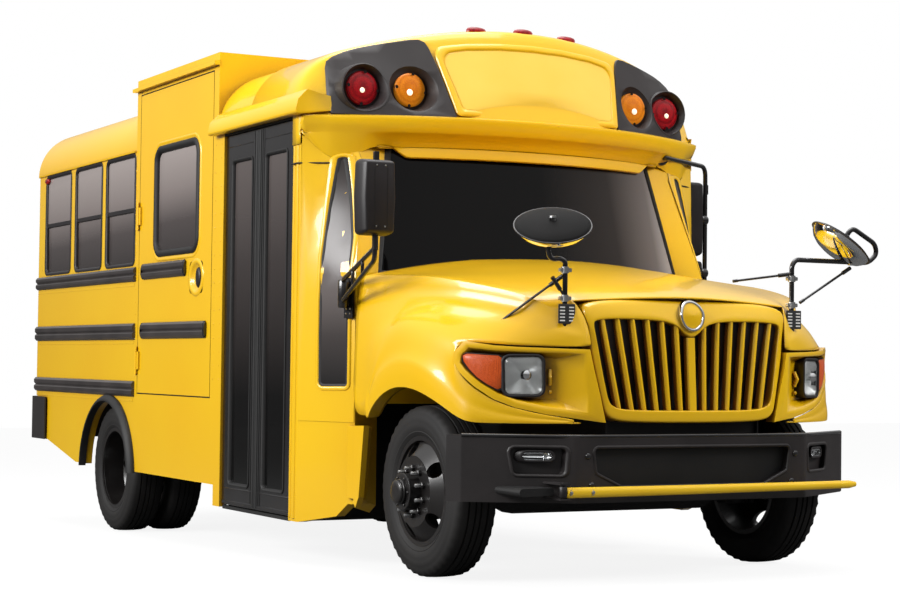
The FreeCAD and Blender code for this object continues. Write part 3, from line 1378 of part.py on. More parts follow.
# ---------------------------------------------------------------- left-side stop arm
STOP_AXIS = (BODY_HALF + 34, 1640)
STOP_HALF = 228
STOP_MIDDLE = 1365
STOP_TUBE = 115             # half length of the hinge tube


def stop_arm_bracket():
    """pair of lugs with the stop arm's upright pin"""
    x, y = STOP_AXIS
    z0, z1 = STOP_MIDDLE - STOP_TUBE, STOP_MIDDLE + STOP_TUBE
    lugs = [box((BODY_HALF - 1, x + 14), (y - 14, y + 14), (z, z + 12)) for z in (z0 - 13, z1 + 1)]
    return join(lugs + [rod((x, y, z0 - 10), (x, y, z1 + 10), 7)])


def stop_arm():
    """blank octagonal plate folded against the side behind its hinge"""
    x, y = STOP_AXIS
    side = 2 * STOP_HALF * math.tan(math.radians(22.5)) / 2
    c = y + 30 + STOP_HALF
    octagon = [(c - STOP_HALF, STOP_MIDDLE - side), (c - side, STOP_MIDDLE - STOP_HALF),
               (c + side, STOP_MIDDLE - STOP_HALF), (c + STOP_HALF, STOP_MIDDLE - side),
               (c + STOP_HALF, STOP_MIDDLE + side), (c + side, STOP_MIDDLE + STOP_HALF),
               (c - side, STOP_MIDDLE + STOP_HALF), (c - STOP_HALF, STOP_MIDDLE + side)]
    plate = prism(octagon, "x", x - 3, x + 3)
    tube = rod((x, y, STOP_MIDDLE - STOP_TUBE), (x, y, STOP_MIDDLE + STOP_TUBE), 12)
    web = box((x - 3, x + 3), (y, y + 60), (STOP_MIDDLE - 80, STOP_MIDDLE + 80))
    bore = rod((x, y, STOP_MIDDLE - 200), (x, y, STOP_MIDDLE + 200), 7 + RUNNING)
    return join([plate, tube, web]).cut(bore)


# ---------------------------------------------------------------- assembly
def nodes():
    """every piece by name"""
    front = FRONT_TRACK / 2
    twins = [tyre(DUAL_OUTER), tyre(DUAL_OUTER - DUAL_SPACING)]
    left = {
        "knuckle": knuckle(),
        "tyre_front": tyre(front),
        "rim_front": front_rim(),
        "tyres_rear": group(twins),
        "rims_rear": rear_rims(),
    }
    made = {
        "frame_rails": frame_rails(), "engine": engine(), "radiator": radiator(), "fuel_tank": fuel_tank(),
        "front_axle": front_axle(), "rear_axle": rear_axle(), "leaf_springs": leaf_springs(),
        "floor": floor(), "side_wall_left": side_wall_left(), "side_wall_right": side_wall_right(),
        "rear_wall": rear_wall(), "roof": roof(), "lift_box": lift_box(), "front_cap": front_cap(),
        "cowl": cowl(), "windshield": windshield(), "side_glass": side_glass(), "rear_glass": rear_glass(),
        "rub_rails": rub_rails(), "front_bumper": front_bumper(), "rear_bumper": rear_bumper(),
        "warning_lamps": warning_lamps(), "marker_lamps": marker_lamps(), "tail_lamps": tail_lamps(),
        "side_mirrors": side_mirrors(), "arch_flares": arch_flares(), "passenger_seats": passenger_seats(),
        "driver_seat": driver_seat(), "dashboard": dashboard(),
        "hood": hood(), "grille": grille(), "headlamps": headlamps(),
        "crossview_mirrors": crossview_mirrors(),
        "door_leaf_front": door_leaf(True), "door_leaf_rear": door_leaf(False),
        "door_glass_front": door_pane(True), "door_glass_rear": door_pane(False),
        "lift_door": lift_door(), "lift_door_glass": lift_door_glass(),
        "lift_door_rails": lift_door_rails(),
        "rear_door": rear_door(), "rear_door_glass": rear_door_glass(),
        "crossing_gate": crossing_gate(), "stop_arm": stop_arm(),
    }
    for name, shape in left.items():
        made[name + "_left"] = shape
        made[name + "_right"] = mirrored(shape)
    return made


def settle(shapes):
    """rake the body onto its tyres and move the origin to the middle of the footprint"""
    for shape in shapes.values():
        shape.rotate(V(0, 0, 0), V(1, 0, 0), RAKE)
    bounds = FreeCAD.BoundBox()
    for shape in shapes.values():
        bounds.add(shape.optimalBoundingBox(False, False))
    shift = -(bounds.YMin + bounds.YMax) / 2
    for shape in shapes.values():
        shape.translate(V(0, shift, 0))
    return shift, bounds


def main():
    os.makedirs("parts", exist_ok=True)
    shapes = nodes()
    shift, bounds = settle(shapes)
    for name, shape in shapes.items():
        shape.exportStep("parts/" + name + ".step")
    print("nodes", len(shapes), "shift", round(shift, 4), "z", round(bounds.ZMin, 3))


main()
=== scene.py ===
# %% [markdown]
# A short school bus with a raised wheelchair-lift doorway.
#
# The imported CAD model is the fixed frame: every body, door, wheel and lamp is already in its real
# place, in metres. This script dresses it. Each cell says what the piece is on a real bus, how it
# could be made, and why it is made this way here.


# %% Load the frame and note the overall box
import bpy, bmesh
import math
from mathutils import Matrix, Vector
from mathutils.geometry import delaunay_2d_cdt


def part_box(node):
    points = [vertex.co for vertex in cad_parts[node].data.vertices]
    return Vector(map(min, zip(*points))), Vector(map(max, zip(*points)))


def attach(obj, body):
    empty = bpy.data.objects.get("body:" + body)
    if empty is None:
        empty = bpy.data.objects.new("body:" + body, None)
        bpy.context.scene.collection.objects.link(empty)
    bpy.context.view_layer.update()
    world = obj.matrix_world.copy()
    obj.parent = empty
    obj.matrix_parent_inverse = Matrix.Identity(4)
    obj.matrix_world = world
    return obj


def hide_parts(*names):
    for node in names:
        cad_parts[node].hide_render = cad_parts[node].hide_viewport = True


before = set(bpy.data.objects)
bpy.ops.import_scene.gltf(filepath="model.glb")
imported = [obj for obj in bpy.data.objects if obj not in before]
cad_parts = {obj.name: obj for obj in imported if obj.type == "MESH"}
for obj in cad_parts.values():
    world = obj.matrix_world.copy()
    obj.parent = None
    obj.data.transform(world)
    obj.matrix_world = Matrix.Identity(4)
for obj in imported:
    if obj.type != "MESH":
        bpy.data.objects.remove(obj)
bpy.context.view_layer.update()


# %% [markdown]
# The bus stands slightly nose down on its springs, so its floor isn't level. Pieces are easier to
# draw square to the body, so they are drawn in millimetres in the body's own frame, with the
# origin on the ground under the front axle, and one matrix sets them down where the CAD has them.


# %% The body's own frame
RAKE = math.radians(1.46)
tyre_low, tyre_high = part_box("tyre_front_left")
AXLE_Y = (tyre_low.y + tyre_high.y) / 2
TYRE_RADIUS = 1000 * (tyre_high.y - tyre_low.y) / 2
BODY = Matrix.Translation((0, AXLE_Y, 0)) @ Matrix.Rotation(RAKE, 4, "X") @ Matrix.Scale(0.001, 4)
BODY_BACK = BODY.inverted()
print("front axle at", round(AXLE_Y, 4), "tyre radius", round(TYRE_RADIUS, 1))


# %% [markdown]
# Colours are written as screen colours, so one function turns the sRGB hex value into the
# linear numbers that the renderer adds up.


# %% Colour
def colour(hex_value):
    """linear RGBA from an sRGB hex string"""
    channels = [int(hex_value[i:i + 2], 16) / 255 for i in (1, 3, 5)]
    linear = [c / 12.92 if c <= 0.04045 else ((c + 0.055) / 1.055) ** 2.4 for c in channels]
    return (*linear, 1.0)


print("middle grey in linear values", [round(c, 3) for c in colour("#808080")])


# %% [markdown]
# Every finish is a small node tree. One helper adds a node, sets its properties, and fills each
# socket with a value or a link, so a material reads as a list of what it is made of.


# %% Node helper
def add(tree, kind, sockets=None, **properties):
    """add one shader node; a socket's value may be another node's output"""
    made = tree.nodes.new("ShaderNode" + kind)
    for name, value in properties.items():
        setattr(made, name, value)
    for name, value in (sockets or {}).items():
        if isinstance(value, bpy.types.NodeSocket):
            tree.links.new(value, made.inputs[name])
        else:
            made.inputs[name].default_value = value
    return made


def set_surface(material, **sockets):
    """set sockets of a material's Principled surface, and return the surface"""
    surface = material.node_tree.nodes["Principled BSDF"]
    for socket, value in sockets.items():
        surface.inputs[socket.replace("_", " ")].default_value = value
    return surface


# %% A new finish, its relief and its tones
def finish(name, **sockets):
    """a new material with its Principled surface set; returns the material, its tree, surface and place"""
    material = bpy.data.materials.new(name)
    material.use_nodes = True
    tree = material.node_tree
    surface = set_surface(material, **sockets)
    place = add(tree, "TexCoord").outputs["Object"]
    material.diffuse_color = surface.inputs["Base Color"].default_value
    return material, tree, surface, place


def per_mm(size):
    """noise scale for features of this size in millimetres, where pieces are drawn in metres"""
    return 1000 / size


def bump(tree, surface, height, depth_mm):
    """relief of a given depth in millimetres on a surface's own normal"""
    relief = add(tree, "Bump", {"Height": height, "Distance": depth_mm / 1000})
    tree.links.new(relief.outputs["Normal"], surface.inputs["Normal"])


def vary(tree, surface, place, first, second, size_mm, low=0.35, high=0.65):
    """base colour that drifts between two tones in patches of a real size"""
    patch = add(tree, "TexNoise", {"Vector": place, "Scale": per_mm(size_mm), "Detail": 3.0})
    ramp = add(tree, "ValToRGB", {"Fac": patch.outputs["Fac"]})
    ramp.color_ramp.elements[0].position, ramp.color_ramp.elements[1].position = low, high
    ramp.color_ramp.elements[0].color, ramp.color_ramp.elements[1].color = colour(first), colour(second)
    tree.links.new(ramp.outputs["Color"], surface.inputs["Base Color"])
    return patch, ramp


# %% [markdown]
# School-bus yellow is a polyurethane enamel sprayed on steel panels: a deep, slightly orange
# yellow under its own gloss. Sprayed paint is never glass-flat. It dries with a faint orange peel,
# a swell 3 to 5 mm across and about a hundredth of a millimetre deep, which makes reflections shimmer.
# The yellow also carries painted shade: it turns towards deep brown in recesses and under overhangs.


# %% Yellow enamel
def yellow_enamel(name, light, deep, peel_mm=3.2, peel_depth=0.012, rough=0.34):
    """sprayed yellow: two close tones, orange peel, a clear gloss, and painted shade in recesses"""
    material, tree, surface, place = finish(name, Roughness=rough, IOR=1.5, Coat_Weight=0.55,
                                            Coat_Roughness=0.06)
    vary(tree, surface, place, deep, light, 900, 0.3, 0.7)
    tones = surface.inputs["Base Color"].links[0].from_socket
    # Painted shade: where ambient occlusion finds other surfaces within 0.3 m, the yellow is mixed towards
    # deep brown #8A5806, so corners, creases and undersides come out darker.
    painted_recess_shade = add(tree, "AmbientOcclusion", {"Distance": 0.3}, samples=4)
    unshaded_share = add(tree, "MapRange", {"Value": painted_recess_shade.outputs["AO"], "From Min": 0.25, "From Max": 0.8})
    tones_with_painted_shade = add(tree, "Mix", {0: unshaded_share.outputs["Result"], 6: colour("#8A5806"), 7: tones},
                 data_type="RGBA")
    tree.links.new(tones_with_painted_shade.outputs[2], surface.inputs["Base Color"])
    peel = add(tree, "TexNoise", {"Vector": place, "Scale": per_mm(peel_mm), "Detail": 1.0})
    bump(tree, surface, peel.outputs["Fac"], peel_depth)
    return material


body_yellow = yellow_enamel("yellow_enamel_on_steel", "#F8C60C", "#F5BE08")
moulded_yellow = yellow_enamel("yellow_enamel_on_moulding", "#F8C60C", "#F5BE08", 4.5, 0.014, 0.3)
print("yellow paints:", body_yellow.name, moulded_yellow.name)


# %% [markdown]
# The black parts are of three kinds. The doors and rub rails have gloss enamel. The bumpers have a
# powder coat, baked on dry, with a fine leather-like texture near 1.6 mm. The lamp surrounds,
# mirrors and trims are moulded ABS with a satin grain.
# The rub rails' enamel is painted a lighter black than the doors', which stands for the sheen along them.


# %% Black finishes
def grained(name, tone, light_tone, rough, grain_mm, depth, coat=0.0):
    """dark finish with a fine grain in its relief and a little unevenness in its tone"""
    material, tree, surface, place = finish(name, Roughness=rough, IOR=1.5, Coat_Weight=coat,
                                            Coat_Roughness=0.12)
    vary(tree, surface, place, tone, light_tone, 220)
    grain = add(tree, "TexNoise", {"Vector": place, "Scale": per_mm(grain_mm), "Detail": 2.0})
    bump(tree, surface, grain.outputs["Fac"], depth)
    return material


black_enamel = grained("black_enamel", "#131112", "#1A1819", 0.22, 3.0, 0.01, coat=0.6)
# Painted sheen: the rails get a lighter black than the doors' enamel, for the highlights along them.
rail_enamel_painted_sheen = grained("black_rail_enamel_painted_sheen", "#2B2625", "#3A3433", 0.36, 2.0, 0.02, coat=0.4)
powder_black = grained("black_powder_coat", "#211E1E", "#2A2626", 0.46, 1.6, 0.09)
satin_black = grained("satin_black_abs", "#1B1819", "#231F20", 0.42, 1.2, 0.03)
cap_black = grained("black_gelcoat", "#221D1D", "#2A2525", 0.5, 2.0, 0.03)
shell_black = grained("matt_black_shell", "#0C0C0C", "#131212", 0.75, 1.2, 0.02)
set_surface(shell_black, Specular_IOR_Level=0.15)
chassis_black = grained("chassis_paint", "#100F0F", "#1C1A19", 0.6, 6.0, 0.12)
spring_steel = grained("painted_spring_steel", "#1A1817", "#2B2622", 0.62, 2.5, 0.08)
cast_iron = grained("cast_iron", "#2B2926", "#3A332C", 0.7, 1.8, 0.15)
black_rubber = grained("moulded_rubber", "#0F0F0F", "#181717", 0.62, 2.2, 0.04)
floor_rubber = grained("ribbed_floor_rubber", "#171717", "#242322", 0.7, 3.0, 0.06)
dash_grey = grained("grained_dash_plastic", "#2A2A2B", "#333334", 0.55, 1.4, 0.05)


# %% [markdown]
# Window glass is tempered safety glass with a grey tint, drawn as a dark base colour with a little
# transmission. Over that, each pane's tone is a painted reflection of the studio along one axis.


# %% Clear glass, and glass with a painted reflection
def tinted_glass(name, tone):
    """clear glass or plastic with a tint and the faint ripple of a big sheet"""
    material, tree, surface, place = finish(name, Base_Color=colour(tone), Roughness=0.02, IOR=1.52,
                                            Transmission_Weight=1.0)
    ripple = add(tree, "TexNoise", {"Vector": place, "Scale": per_mm(260), "Detail": 0.0})
    bump(tree, surface, ripple.outputs["Fac"], 0.25)
    return material


def glass_with_painted_reflection(name, axis, low, high, tones):
    """dark tinted glass with a painted reflection: its tone runs along an axis of the bus, from low to high
    in metres
    """
    material, tree, surface, place = finish(name, Roughness=0.05, IOR=1.45, Transmission_Weight=0.06)
    along = add(tree, "SeparateXYZ", {"Vector": place}).outputs[axis]
    share = add(tree, "MapRange", {"Value": along, "From Min": low, "From Max": high})
    ramp = add(tree, "ValToRGB", {"Fac": share.outputs["Result"]})
    stops = ramp.color_ramp.elements
    stops[0].color, stops[1].color = colour(tones[0][1]), colour(tones[-1][1])
    for position, tone in tones[1:-1]:
        stops.new(position).color = colour(tone)
    tree.links.new(ramp.outputs["Color"], surface.inputs["Base Color"])
    ripple = add(tree, "TexNoise", {"Vector": place, "Scale": per_mm(260), "Detail": 0.0})
    bump(tree, surface, ripple.outputs["Fac"], 0.25)
    return material


# %% Glass, mirror and bright metal
# Painted reflection: the side and rear panes run from near black at 1.55 m up to light grey at 2.35 m, where
# the bright studio overhead shows on them.
window_glass = glass_with_painted_reflection("grey_glass_painted_reflection", "Z", 1.55, 2.35,
                            ((0, "#1B1918"), (0.45, "#4A4342"), (0.7, "#857B78"), (1, "#A39995")))
# Painted reflection: the entrance panes run from black low down to a mid grey at their top.
door_glass_painted_reflection = glass_with_painted_reflection("dark_glass_painted_reflection", "Z", 0.3, 2.15,
                               ((0, "#020202"), (0.3, "#070606"), (0.7, "#3A3433"), (1, "#5C5452")))
# Painted reflection and highlight: the windshield runs from near black on the entrance side to pale grey at
# its edge on the driver's side.
screen_painted_reflection = glass_with_painted_reflection("windshield_glass_painted_reflection", "X", -0.95, 0.95,
                            ((0, "#030202"), (0.5, "#080707"), (0.74, "#2E2A29"), (0.9, "#6B6462"),
                             (1, "#B9B2B0")))
set_surface(screen_painted_reflection, Specular_IOR_Level=0.15)
clear_cover = tinted_glass("clear_polycarbonate", "#F4F6F7")

mirror_silver = finish("silvered_glass", Base_Color=colour("#E6E8EA"), Metallic=1.0, Roughness=0.02)[0]
reflector = finish("aluminised_reflector", Base_Color=colour("#F6F5F2"), Metallic=0.45, Roughness=0.3)[0]
chrome = finish("chromed_steel", Base_Color=colour("#D9DADB"), Metallic=1.0, Roughness=0.08)[0]
zinc = grained("zinc_plated_steel", "#B8B9BA", "#D0D0CF", 0.35, 1.5, 0.02)
set_surface(zinc, Metallic=1.0)
aluminium = grained("mill_aluminium", "#9C9D9E", "#B4B5B5", 0.42, 1.2, 0.02)
set_surface(aluminium, Metallic=1.0)
print(len(bpy.data.materials), "finishes so far, glass and metal among them")


# %% [markdown]
# Lamp lenses are acrylic, moulded inside with a pattern of small pillows that spreads the light.
# A Voronoi pattern with cells of 4 or 6 mm stands for the pillows: each bulges, and its edge is a
# groove. Behind it the reflector is bright, so the colour is strong and a little light comes through.


# %% Lamp lenses
def pillow_lens(name, tone, bright, cell_mm=6.0, glow=0.0):
    """coloured acrylic moulded inside in pillows, with a little light behind it"""
    material, tree, surface, place = finish(name, Roughness=0.3, IOR=1.4, Coat_Weight=0.35,
                                            Coat_Roughness=0.08,
                                            Emission_Color=colour(bright), Emission_Strength=glow)
    cells = add(tree, "TexVoronoi", {"Vector": place, "Scale": per_mm(cell_mm), "Randomness": 0.25})
    ramp = add(tree, "ValToRGB", {"Fac": cells.outputs["Distance"]})
    ramp.color_ramp.elements[0].color, ramp.color_ramp.elements[1].color = colour(bright), colour(tone)
    ramp.color_ramp.elements[1].position = 0.62
    tree.links.new(ramp.outputs["Color"], surface.inputs["Base Color"])
    bump(tree, surface, cells.outputs["Distance"], -1.2)
    return material


red_lens = pillow_lens("red_acrylic_lens", "#5E0008", "#E01220", glow=0.05)
amber_lens = pillow_lens("amber_acrylic_lens", "#C45C00", "#FFA21C", glow=0.16)
clear_lens = pillow_lens("clear_acrylic_lens", "#C9CBCC", "#FFFFFF")
# Painted glint: a pale finish that glows, for the bright glint near the middle of each warning lens.
painted_glint = finish("lens_bullseye", Base_Color=colour("#FFF4DC"), Roughness=0.2,
                     Emission_Color=colour("#FFF1D0"), Emission_Strength=0.9)[0]
turn_lens = pillow_lens("orange_red_acrylic_lens", "#B03408", "#FF7A30", 4.0, glow=0.1)
print("lenses:", red_lens.name, amber_lens.name, clear_lens.name, turn_lens.name)


# %% [markdown]
# Tyre rubber is dark grey rather than black, matt, and a little uneven in its tone.
# The wheels are steel with a black enamel that has lost some of its gloss.


# %% Tyre, wheel, cloth and sign finishes
tyre_rubber = grained("tyre_rubber", "#0F0D0D", "#181615", 0.72, 2.4, 0.08)
wheel_black = grained("black_wheel_enamel", "#161414", "#1F1C1B", 0.34, 2.5, 0.02, coat=0.3)
seat_vinyl = grained("seat_vinyl", "#27303D", "#2E3948", 0.48, 2.0, 0.12)
gate_yellow = grained("yellow_glassfibre_rod", "#F8C618", "#FACC20", 0.35, 2.0, 0.02, coat=0.5)
stop_red = grained("red_reflective_sheet", "#A81219", "#B5161D", 0.3, 1.6, 0.02, coat=0.4)
white_enamel = grained("white_reflective_sheet", "#E6E6E2", "#F0F0EC", 0.35, 1.6, 0.02, coat=0.3)

sign_sheet, tree, surface, place = finish("lemon_reflective_sheet", Roughness=0.32, Coat_Weight=0.8,
                                          Coat_Roughness=0.06)
vary(tree, surface, place, "#F8C93A", "#FAD04A", 500)
honeycomb = add(tree, "TexVoronoi", {"Vector": place, "Scale": per_mm(3.0), "Randomness": 0.0},
                feature="DISTANCE_TO_EDGE")
bump(tree, surface, honeycomb.outputs["Distance"], 0.04)
print(len(bpy.data.materials), "finishes")


# %% [markdown]
# Most CAD nodes already have the right shape and only need their finish. The list gives one
# finish to each group of nodes. Their shapes and their shading stay as the frame has them.


# %% Dress the CAD nodes
DRESSING = (
    (body_yellow, "side_wall_left side_wall_right rear_wall roof lift_box lift_door rear_door"),
    (moulded_yellow, "front_cap cowl hood grille"),
    (rail_enamel_painted_sheen, "rub_rails lift_door_rails"),
    (black_enamel, "door_leaf_front door_leaf_rear"),
    (powder_black, "front_bumper rear_bumper"),
    (satin_black, "side_mirrors crossview_mirrors"),
    (black_rubber, "arch_flares"),
    (window_glass, "side_glass rear_glass lift_door_glass rear_door_glass"),
    (door_glass_painted_reflection, "door_glass_front door_glass_rear"),
    (screen_painted_reflection, "windshield"),
    (chassis_black, "frame_rails fuel_tank front_axle rear_axle knuckle_left knuckle_right"),
    (spring_steel, "leaf_springs"),
    (cast_iron, "engine"),
    (aluminium, "radiator"),
    (floor_rubber, "floor"),
    (red_lens, "warning_lamps tail_lamps"),
    (amber_lens, "marker_lamps"),
    (clear_lens, "headlamps"),
    (seat_vinyl, "passenger_seats driver_seat"),
    (dash_grey, "dashboard"),
    (gate_yellow, "crossing_gate"),
    (stop_red, "stop_arm"),
    (tyre_rubber, "tyre_front_left tyre_front_right tyres_rear_left tyres_rear_right"),
    (wheel_black, "rim_front_left rim_front_right rims_rear_left rims_rear_right"),
)
for material, names in DRESSING:
    for node in names.split():
        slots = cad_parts[node].data.materials
        slots.clear()
        slots.append(material)
print("dressed", sum(len(names.split()) for _, names in DRESSING), "of", len(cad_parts), "nodes")


# %% [markdown]
# New pieces are drawn in millimetres as plain lists of points and faces: outlines carried along a
# line, profiles turned about an axis, tubes along bent paths and skins over rows of points. One
# function then makes the Blender object, sets it in the bus and says which body it rides on.


# %% Outlines
def rounded(points, steps=5):
    """flat outline with arcs at its corners, from (a, b) or (a, b, radius)"""
    made = []
    for i, p in enumerate(points):
        corner = Vector(p[:2])
        if len(p) < 3:
            made.append(corner)
            continue
        u = (Vector(points[i - 1][:2]) - corner).normalized()
        w = (Vector(points[(i + 1) % len(points)][:2]) - corner).normalized()
        half = u.angle(w) / 2
        centre = corner + (u + w).normalized() * (p[2] / math.sin(half))
        start = corner + u * (p[2] / math.tan(half)) - centre
        end = corner + w * (p[2] / math.tan(half)) - centre
        made += [centre + start.lerp(end, n / steps).normalized() * p[2] for n in range(steps + 1)]
    return made


def rectangle(a, b):
    """sharp-cornered rectangle between (low, high) pairs"""
    return [Vector(p) for p in ((a[0], b[0]), (a[1], b[0]), (a[1], b[1]), (a[0], b[1]))]


def around(count):
    """cosines and sines of equal steps round a circle"""
    return [(math.cos(math.tau * n / count), math.sin(math.tau * n / count)) for n in range(count)]


def box_outline(a, b, radius):
    """rounded rectangle between (low, high) pairs"""
    return rounded([(a[0], b[0], radius), (a[1], b[0], radius), (a[1], b[1], radius), (a[0], b[1], radius)])


# %% Inset outlines and bent paths
def shrunk(outline, by):
    """outline moved inwards by a distance, with mitred corners; a negative distance grows it"""
    count = len(outline)
    area = sum(outline[i - 1].cross(outline[i]) for i in range(count))
    turn = 1 if area > 0 else -1
    moved = []
    for i, b in enumerate(outline):
        before = (b - outline[i - 1]).normalized()
        after = (outline[(i + 1) % count] - b).normalized()
        n1, n2 = Vector((-before.y, before.x)) * turn, Vector((-after.y, after.x)) * turn
        mitre = (n1 + n2).normalized()
        moved.append(b + mitre * (by / max(mitre.dot(n1), 0.3)))
    return moved


def placed(outline, axis, at):
    """flat outline set in space: (y, z) across x, (x, z) across y, (x, y) across z"""
    return [{"x": Vector((at, a, b)), "y": Vector((a, at, b)), "z": Vector((a, b, at))}[axis] for a,
            b in outline]


def bent(points, radius, steps=5):
    """path through points with its corners rounded"""
    path = [Vector(points[0])]
    for a, b, c in zip(points, points[1:], points[2:]):
        a, b, c = Vector(a), Vector(b), Vector(c)
        reach = min(radius, (a - b).length / 2.1, (c - b).length / 2.1)
        start, end = b + (a - b).normalized() * reach, b + (c - b).normalized() * reach
        for n in range(steps + 1):
            t = n / steps
            path.append(start * (1 - t) ** 2 + b * 2 * t * (1 - t) + end * t ** 2)
    return path + [Vector(points[-1])]


# %% Solids and skins, each as points and faces
def skin(loops, closed=True, capped=False, wrapped=False):
    """quads between loops of equal count; wrapped joins the last loop to the first"""
    count = len(loops[0])
    points = [p for loop in loops for p in loop]
    faces = []
    pairs = len(loops) if wrapped else len(loops) - 1
    for r in range(pairs):
        s = (r + 1) % len(loops)
        for i in range(count if closed else count - 1):
            j = (i + 1) % count
            faces.append((r * count + i, r * count + j, s * count + j, s * count + i))
    if capped:
        faces += [tuple(range(count))[::-1], tuple(range(len(points) - count, len(points)))]
    return points, faces


def slab(outline, by):
    """closed outline in space, carried along a vector"""
    return skin([outline, [p + Vector(by) for p in outline]], capped=True)


def prism(outline, axis, low, high):
    """flat outline carried along an axis"""
    return skin([placed(outline, axis, low), placed(outline, axis, high)], capped=True)


def block(x, y, z, radius=4):
    """bar with rounded corners seen from the front"""
    return prism(box_outline(x, z, radius), "y", *y)


def face_at(axis, at):
    """placing function of a flat face: out counts along the axis"""
    return lambda a, b, out: placed([(a, b)], axis, at + out)[0]


def bead(outline, section, place, **how):
    """strip that follows an outline, from (inwards, out) pairs, set in space by place(a, b, out)"""
    return skin([[place(p.x, p.y, out) for p in shrunk(outline, inwards)] for inwards, out in section], **how)


# %% Turned parts and tubes
def turned(profile, centre, axis="x", steps=40, capped=True):
    """solid of revolution from (along, radius) pairs"""
    loops = []
    for along, radius in profile:
        ring = placed([(radius * c, radius * s) for c, s in around(steps)], axis, along)
        loops.append([Vector(centre) + p for p in ring])
    return skin(loops, capped=capped)


def tube(path, radius, sides=12, flat=1.0):
    """round bar along a path; flat squashes its section in height"""
    path = [Vector(p) for p in path]
    loops = []
    up = Vector((0, 0, 1)) if abs((path[1] - path[0]).normalized().z) < 0.9 else Vector((0, 1, 0))
    for i, p in enumerate(path):
        way = (path[min(i + 1, len(path) - 1)] - path[max(i - 1, 0)]).normalized()
        side = way.cross(up).normalized()
        up = side.cross(way).normalized()
        loops.append([p + side * radius * c + up * radius * flat * s for c, s in around(sides)])
    return skin(loops, capped=True)


# %% Mirrored parts
def flipped(part):
    """mirror image across the centreline"""
    points, faces = part
    return [Vector((-p.x, p.y, p.z)) for p in points], [f[::-1] for f in faces]


def both(parts):
    """parts with their mirror images"""
    return list(parts) + [flipped(p) for p in parts]


# %% The colour slot that each material usually answers to
SLOT_MATERIALS = {
    "body_yellow": "yellow_enamel_on_moulding yellow_enamel_on_steel lemon_reflective_sheet",
    "black_plastic": "satin_black_abs black_gelcoat matt_black_shell black_enamel",
    "black_rubber": "moulded_rubber",
    "bumper_black": "black_powder_coat",
    "clear_lens": "chromed_steel aluminised_reflector clear_polycarbonate lens_bullseye",
    "red_lens": "red_acrylic_lens",
    "amber_lens": "amber_acrylic_lens orange_red_acrylic_lens",
    "tyre": "tyre_rubber",
    "rim_paint": "black_wheel_enamel",
    "grey_plastic": "zinc_plated_steel silvered_glass white_reflective_sheet grained_dash_plastic",
    "yellow_plastic": "yellow_glassfibre_rod",
    "window_glass": "corner_glass_painted_reflection",
    "seat_vinyl": "seat_vinyl",
    "black_paint": "chassis_paint",
}
USUAL_SLOTS = {name: slot for slot, names in SLOT_MATERIALS.items() for name in names.split()}
print(len(USUAL_SLOTS), "materials have a usual slot")


# %% Make a piece
def piece(name, parts, material, body="bus_body", slot=None, bevel=0.0, smooth=50, thick=0.0, levels=0,
          crease=None, outward=None, plain=False):
    """one object from parts, in the bus's frame; thick gives an open skin its metal, levels subdivides it"""
    mesh = bpy.data.meshes.new(name)
    build = bmesh.new()
    for points, faces in parts:
        verts = [build.verts.new(BODY @ Vector(p)) for p in points]
        for face in faces:
            if len({tuple(round(c, 7) for c in verts[i].co) for i in face}) > 2:
                build.faces.new([verts[i] for i in face])
    bmesh.ops.remove_doubles(build, verts=build.verts, dist=0.0002)
    bmesh.ops.recalc_face_normals(build, faces=build.faces)
    if outward is not None:
        middle = BODY @ Vector(outward)
        facing = sum(f.normal.dot(f.calc_center_median() - middle) * f.calc_area() for f in build.faces)
        if facing < 0:
            bmesh.ops.reverse_faces(build, faces=build.faces)
    if crease:
        layer = build.edges.layers.float.new("crease_edge")
        for edge in build.edges:
            edge[layer] = crease(BODY_BACK @ edge.verts[0].co, BODY_BACK @ edge.verts[1].co)
    build.to_mesh(mesh)
    build.free()
    mesh.materials.append(material)
    made = bpy.data.objects.new(name, mesh)
    bpy.context.scene.collection.objects.link(made)
    if levels:
        finer = made.modifiers.new("finer", "SUBSURF")
        finer.levels = finer.render_levels = levels
    if thick:
        metal = made.modifiers.new("thickness", "SOLIDIFY")
        metal.thickness, metal.offset = thick / 1000, -1
    if bevel:
        edges = made.modifiers.new("edges", "BEVEL")
        edges.width, edges.segments, edges.limit_method, edges.angle_limit = bevel / 1000, 2, "ANGLE", 0.6
    if not plain:
        mesh.shade_smooth()
        mesh.set_sharp_from_angle(angle=math.radians(smooth))
    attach(made, body)
    slot = slot or USUAL_SLOTS[material.name.split(".")[0]]     # Blender numbers a name the CAD has too
    print(name, "rides on", body, "in slot", slot, "with", len(mesh.vertices), "points")
    return made


# %% Flat regions with holes
def is_inside(p, outline):
    """even-odd test of a flat point against an outline"""
    inside = False
    for a, b in zip(outline, outline[1:] + outline[:1]):
        if (a.y > p.y) != (b.y > p.y) and p.x < a.x + (p.y - a.y) * (b.x - a.x) / (b.y - a.y):
            inside = not inside
    return inside


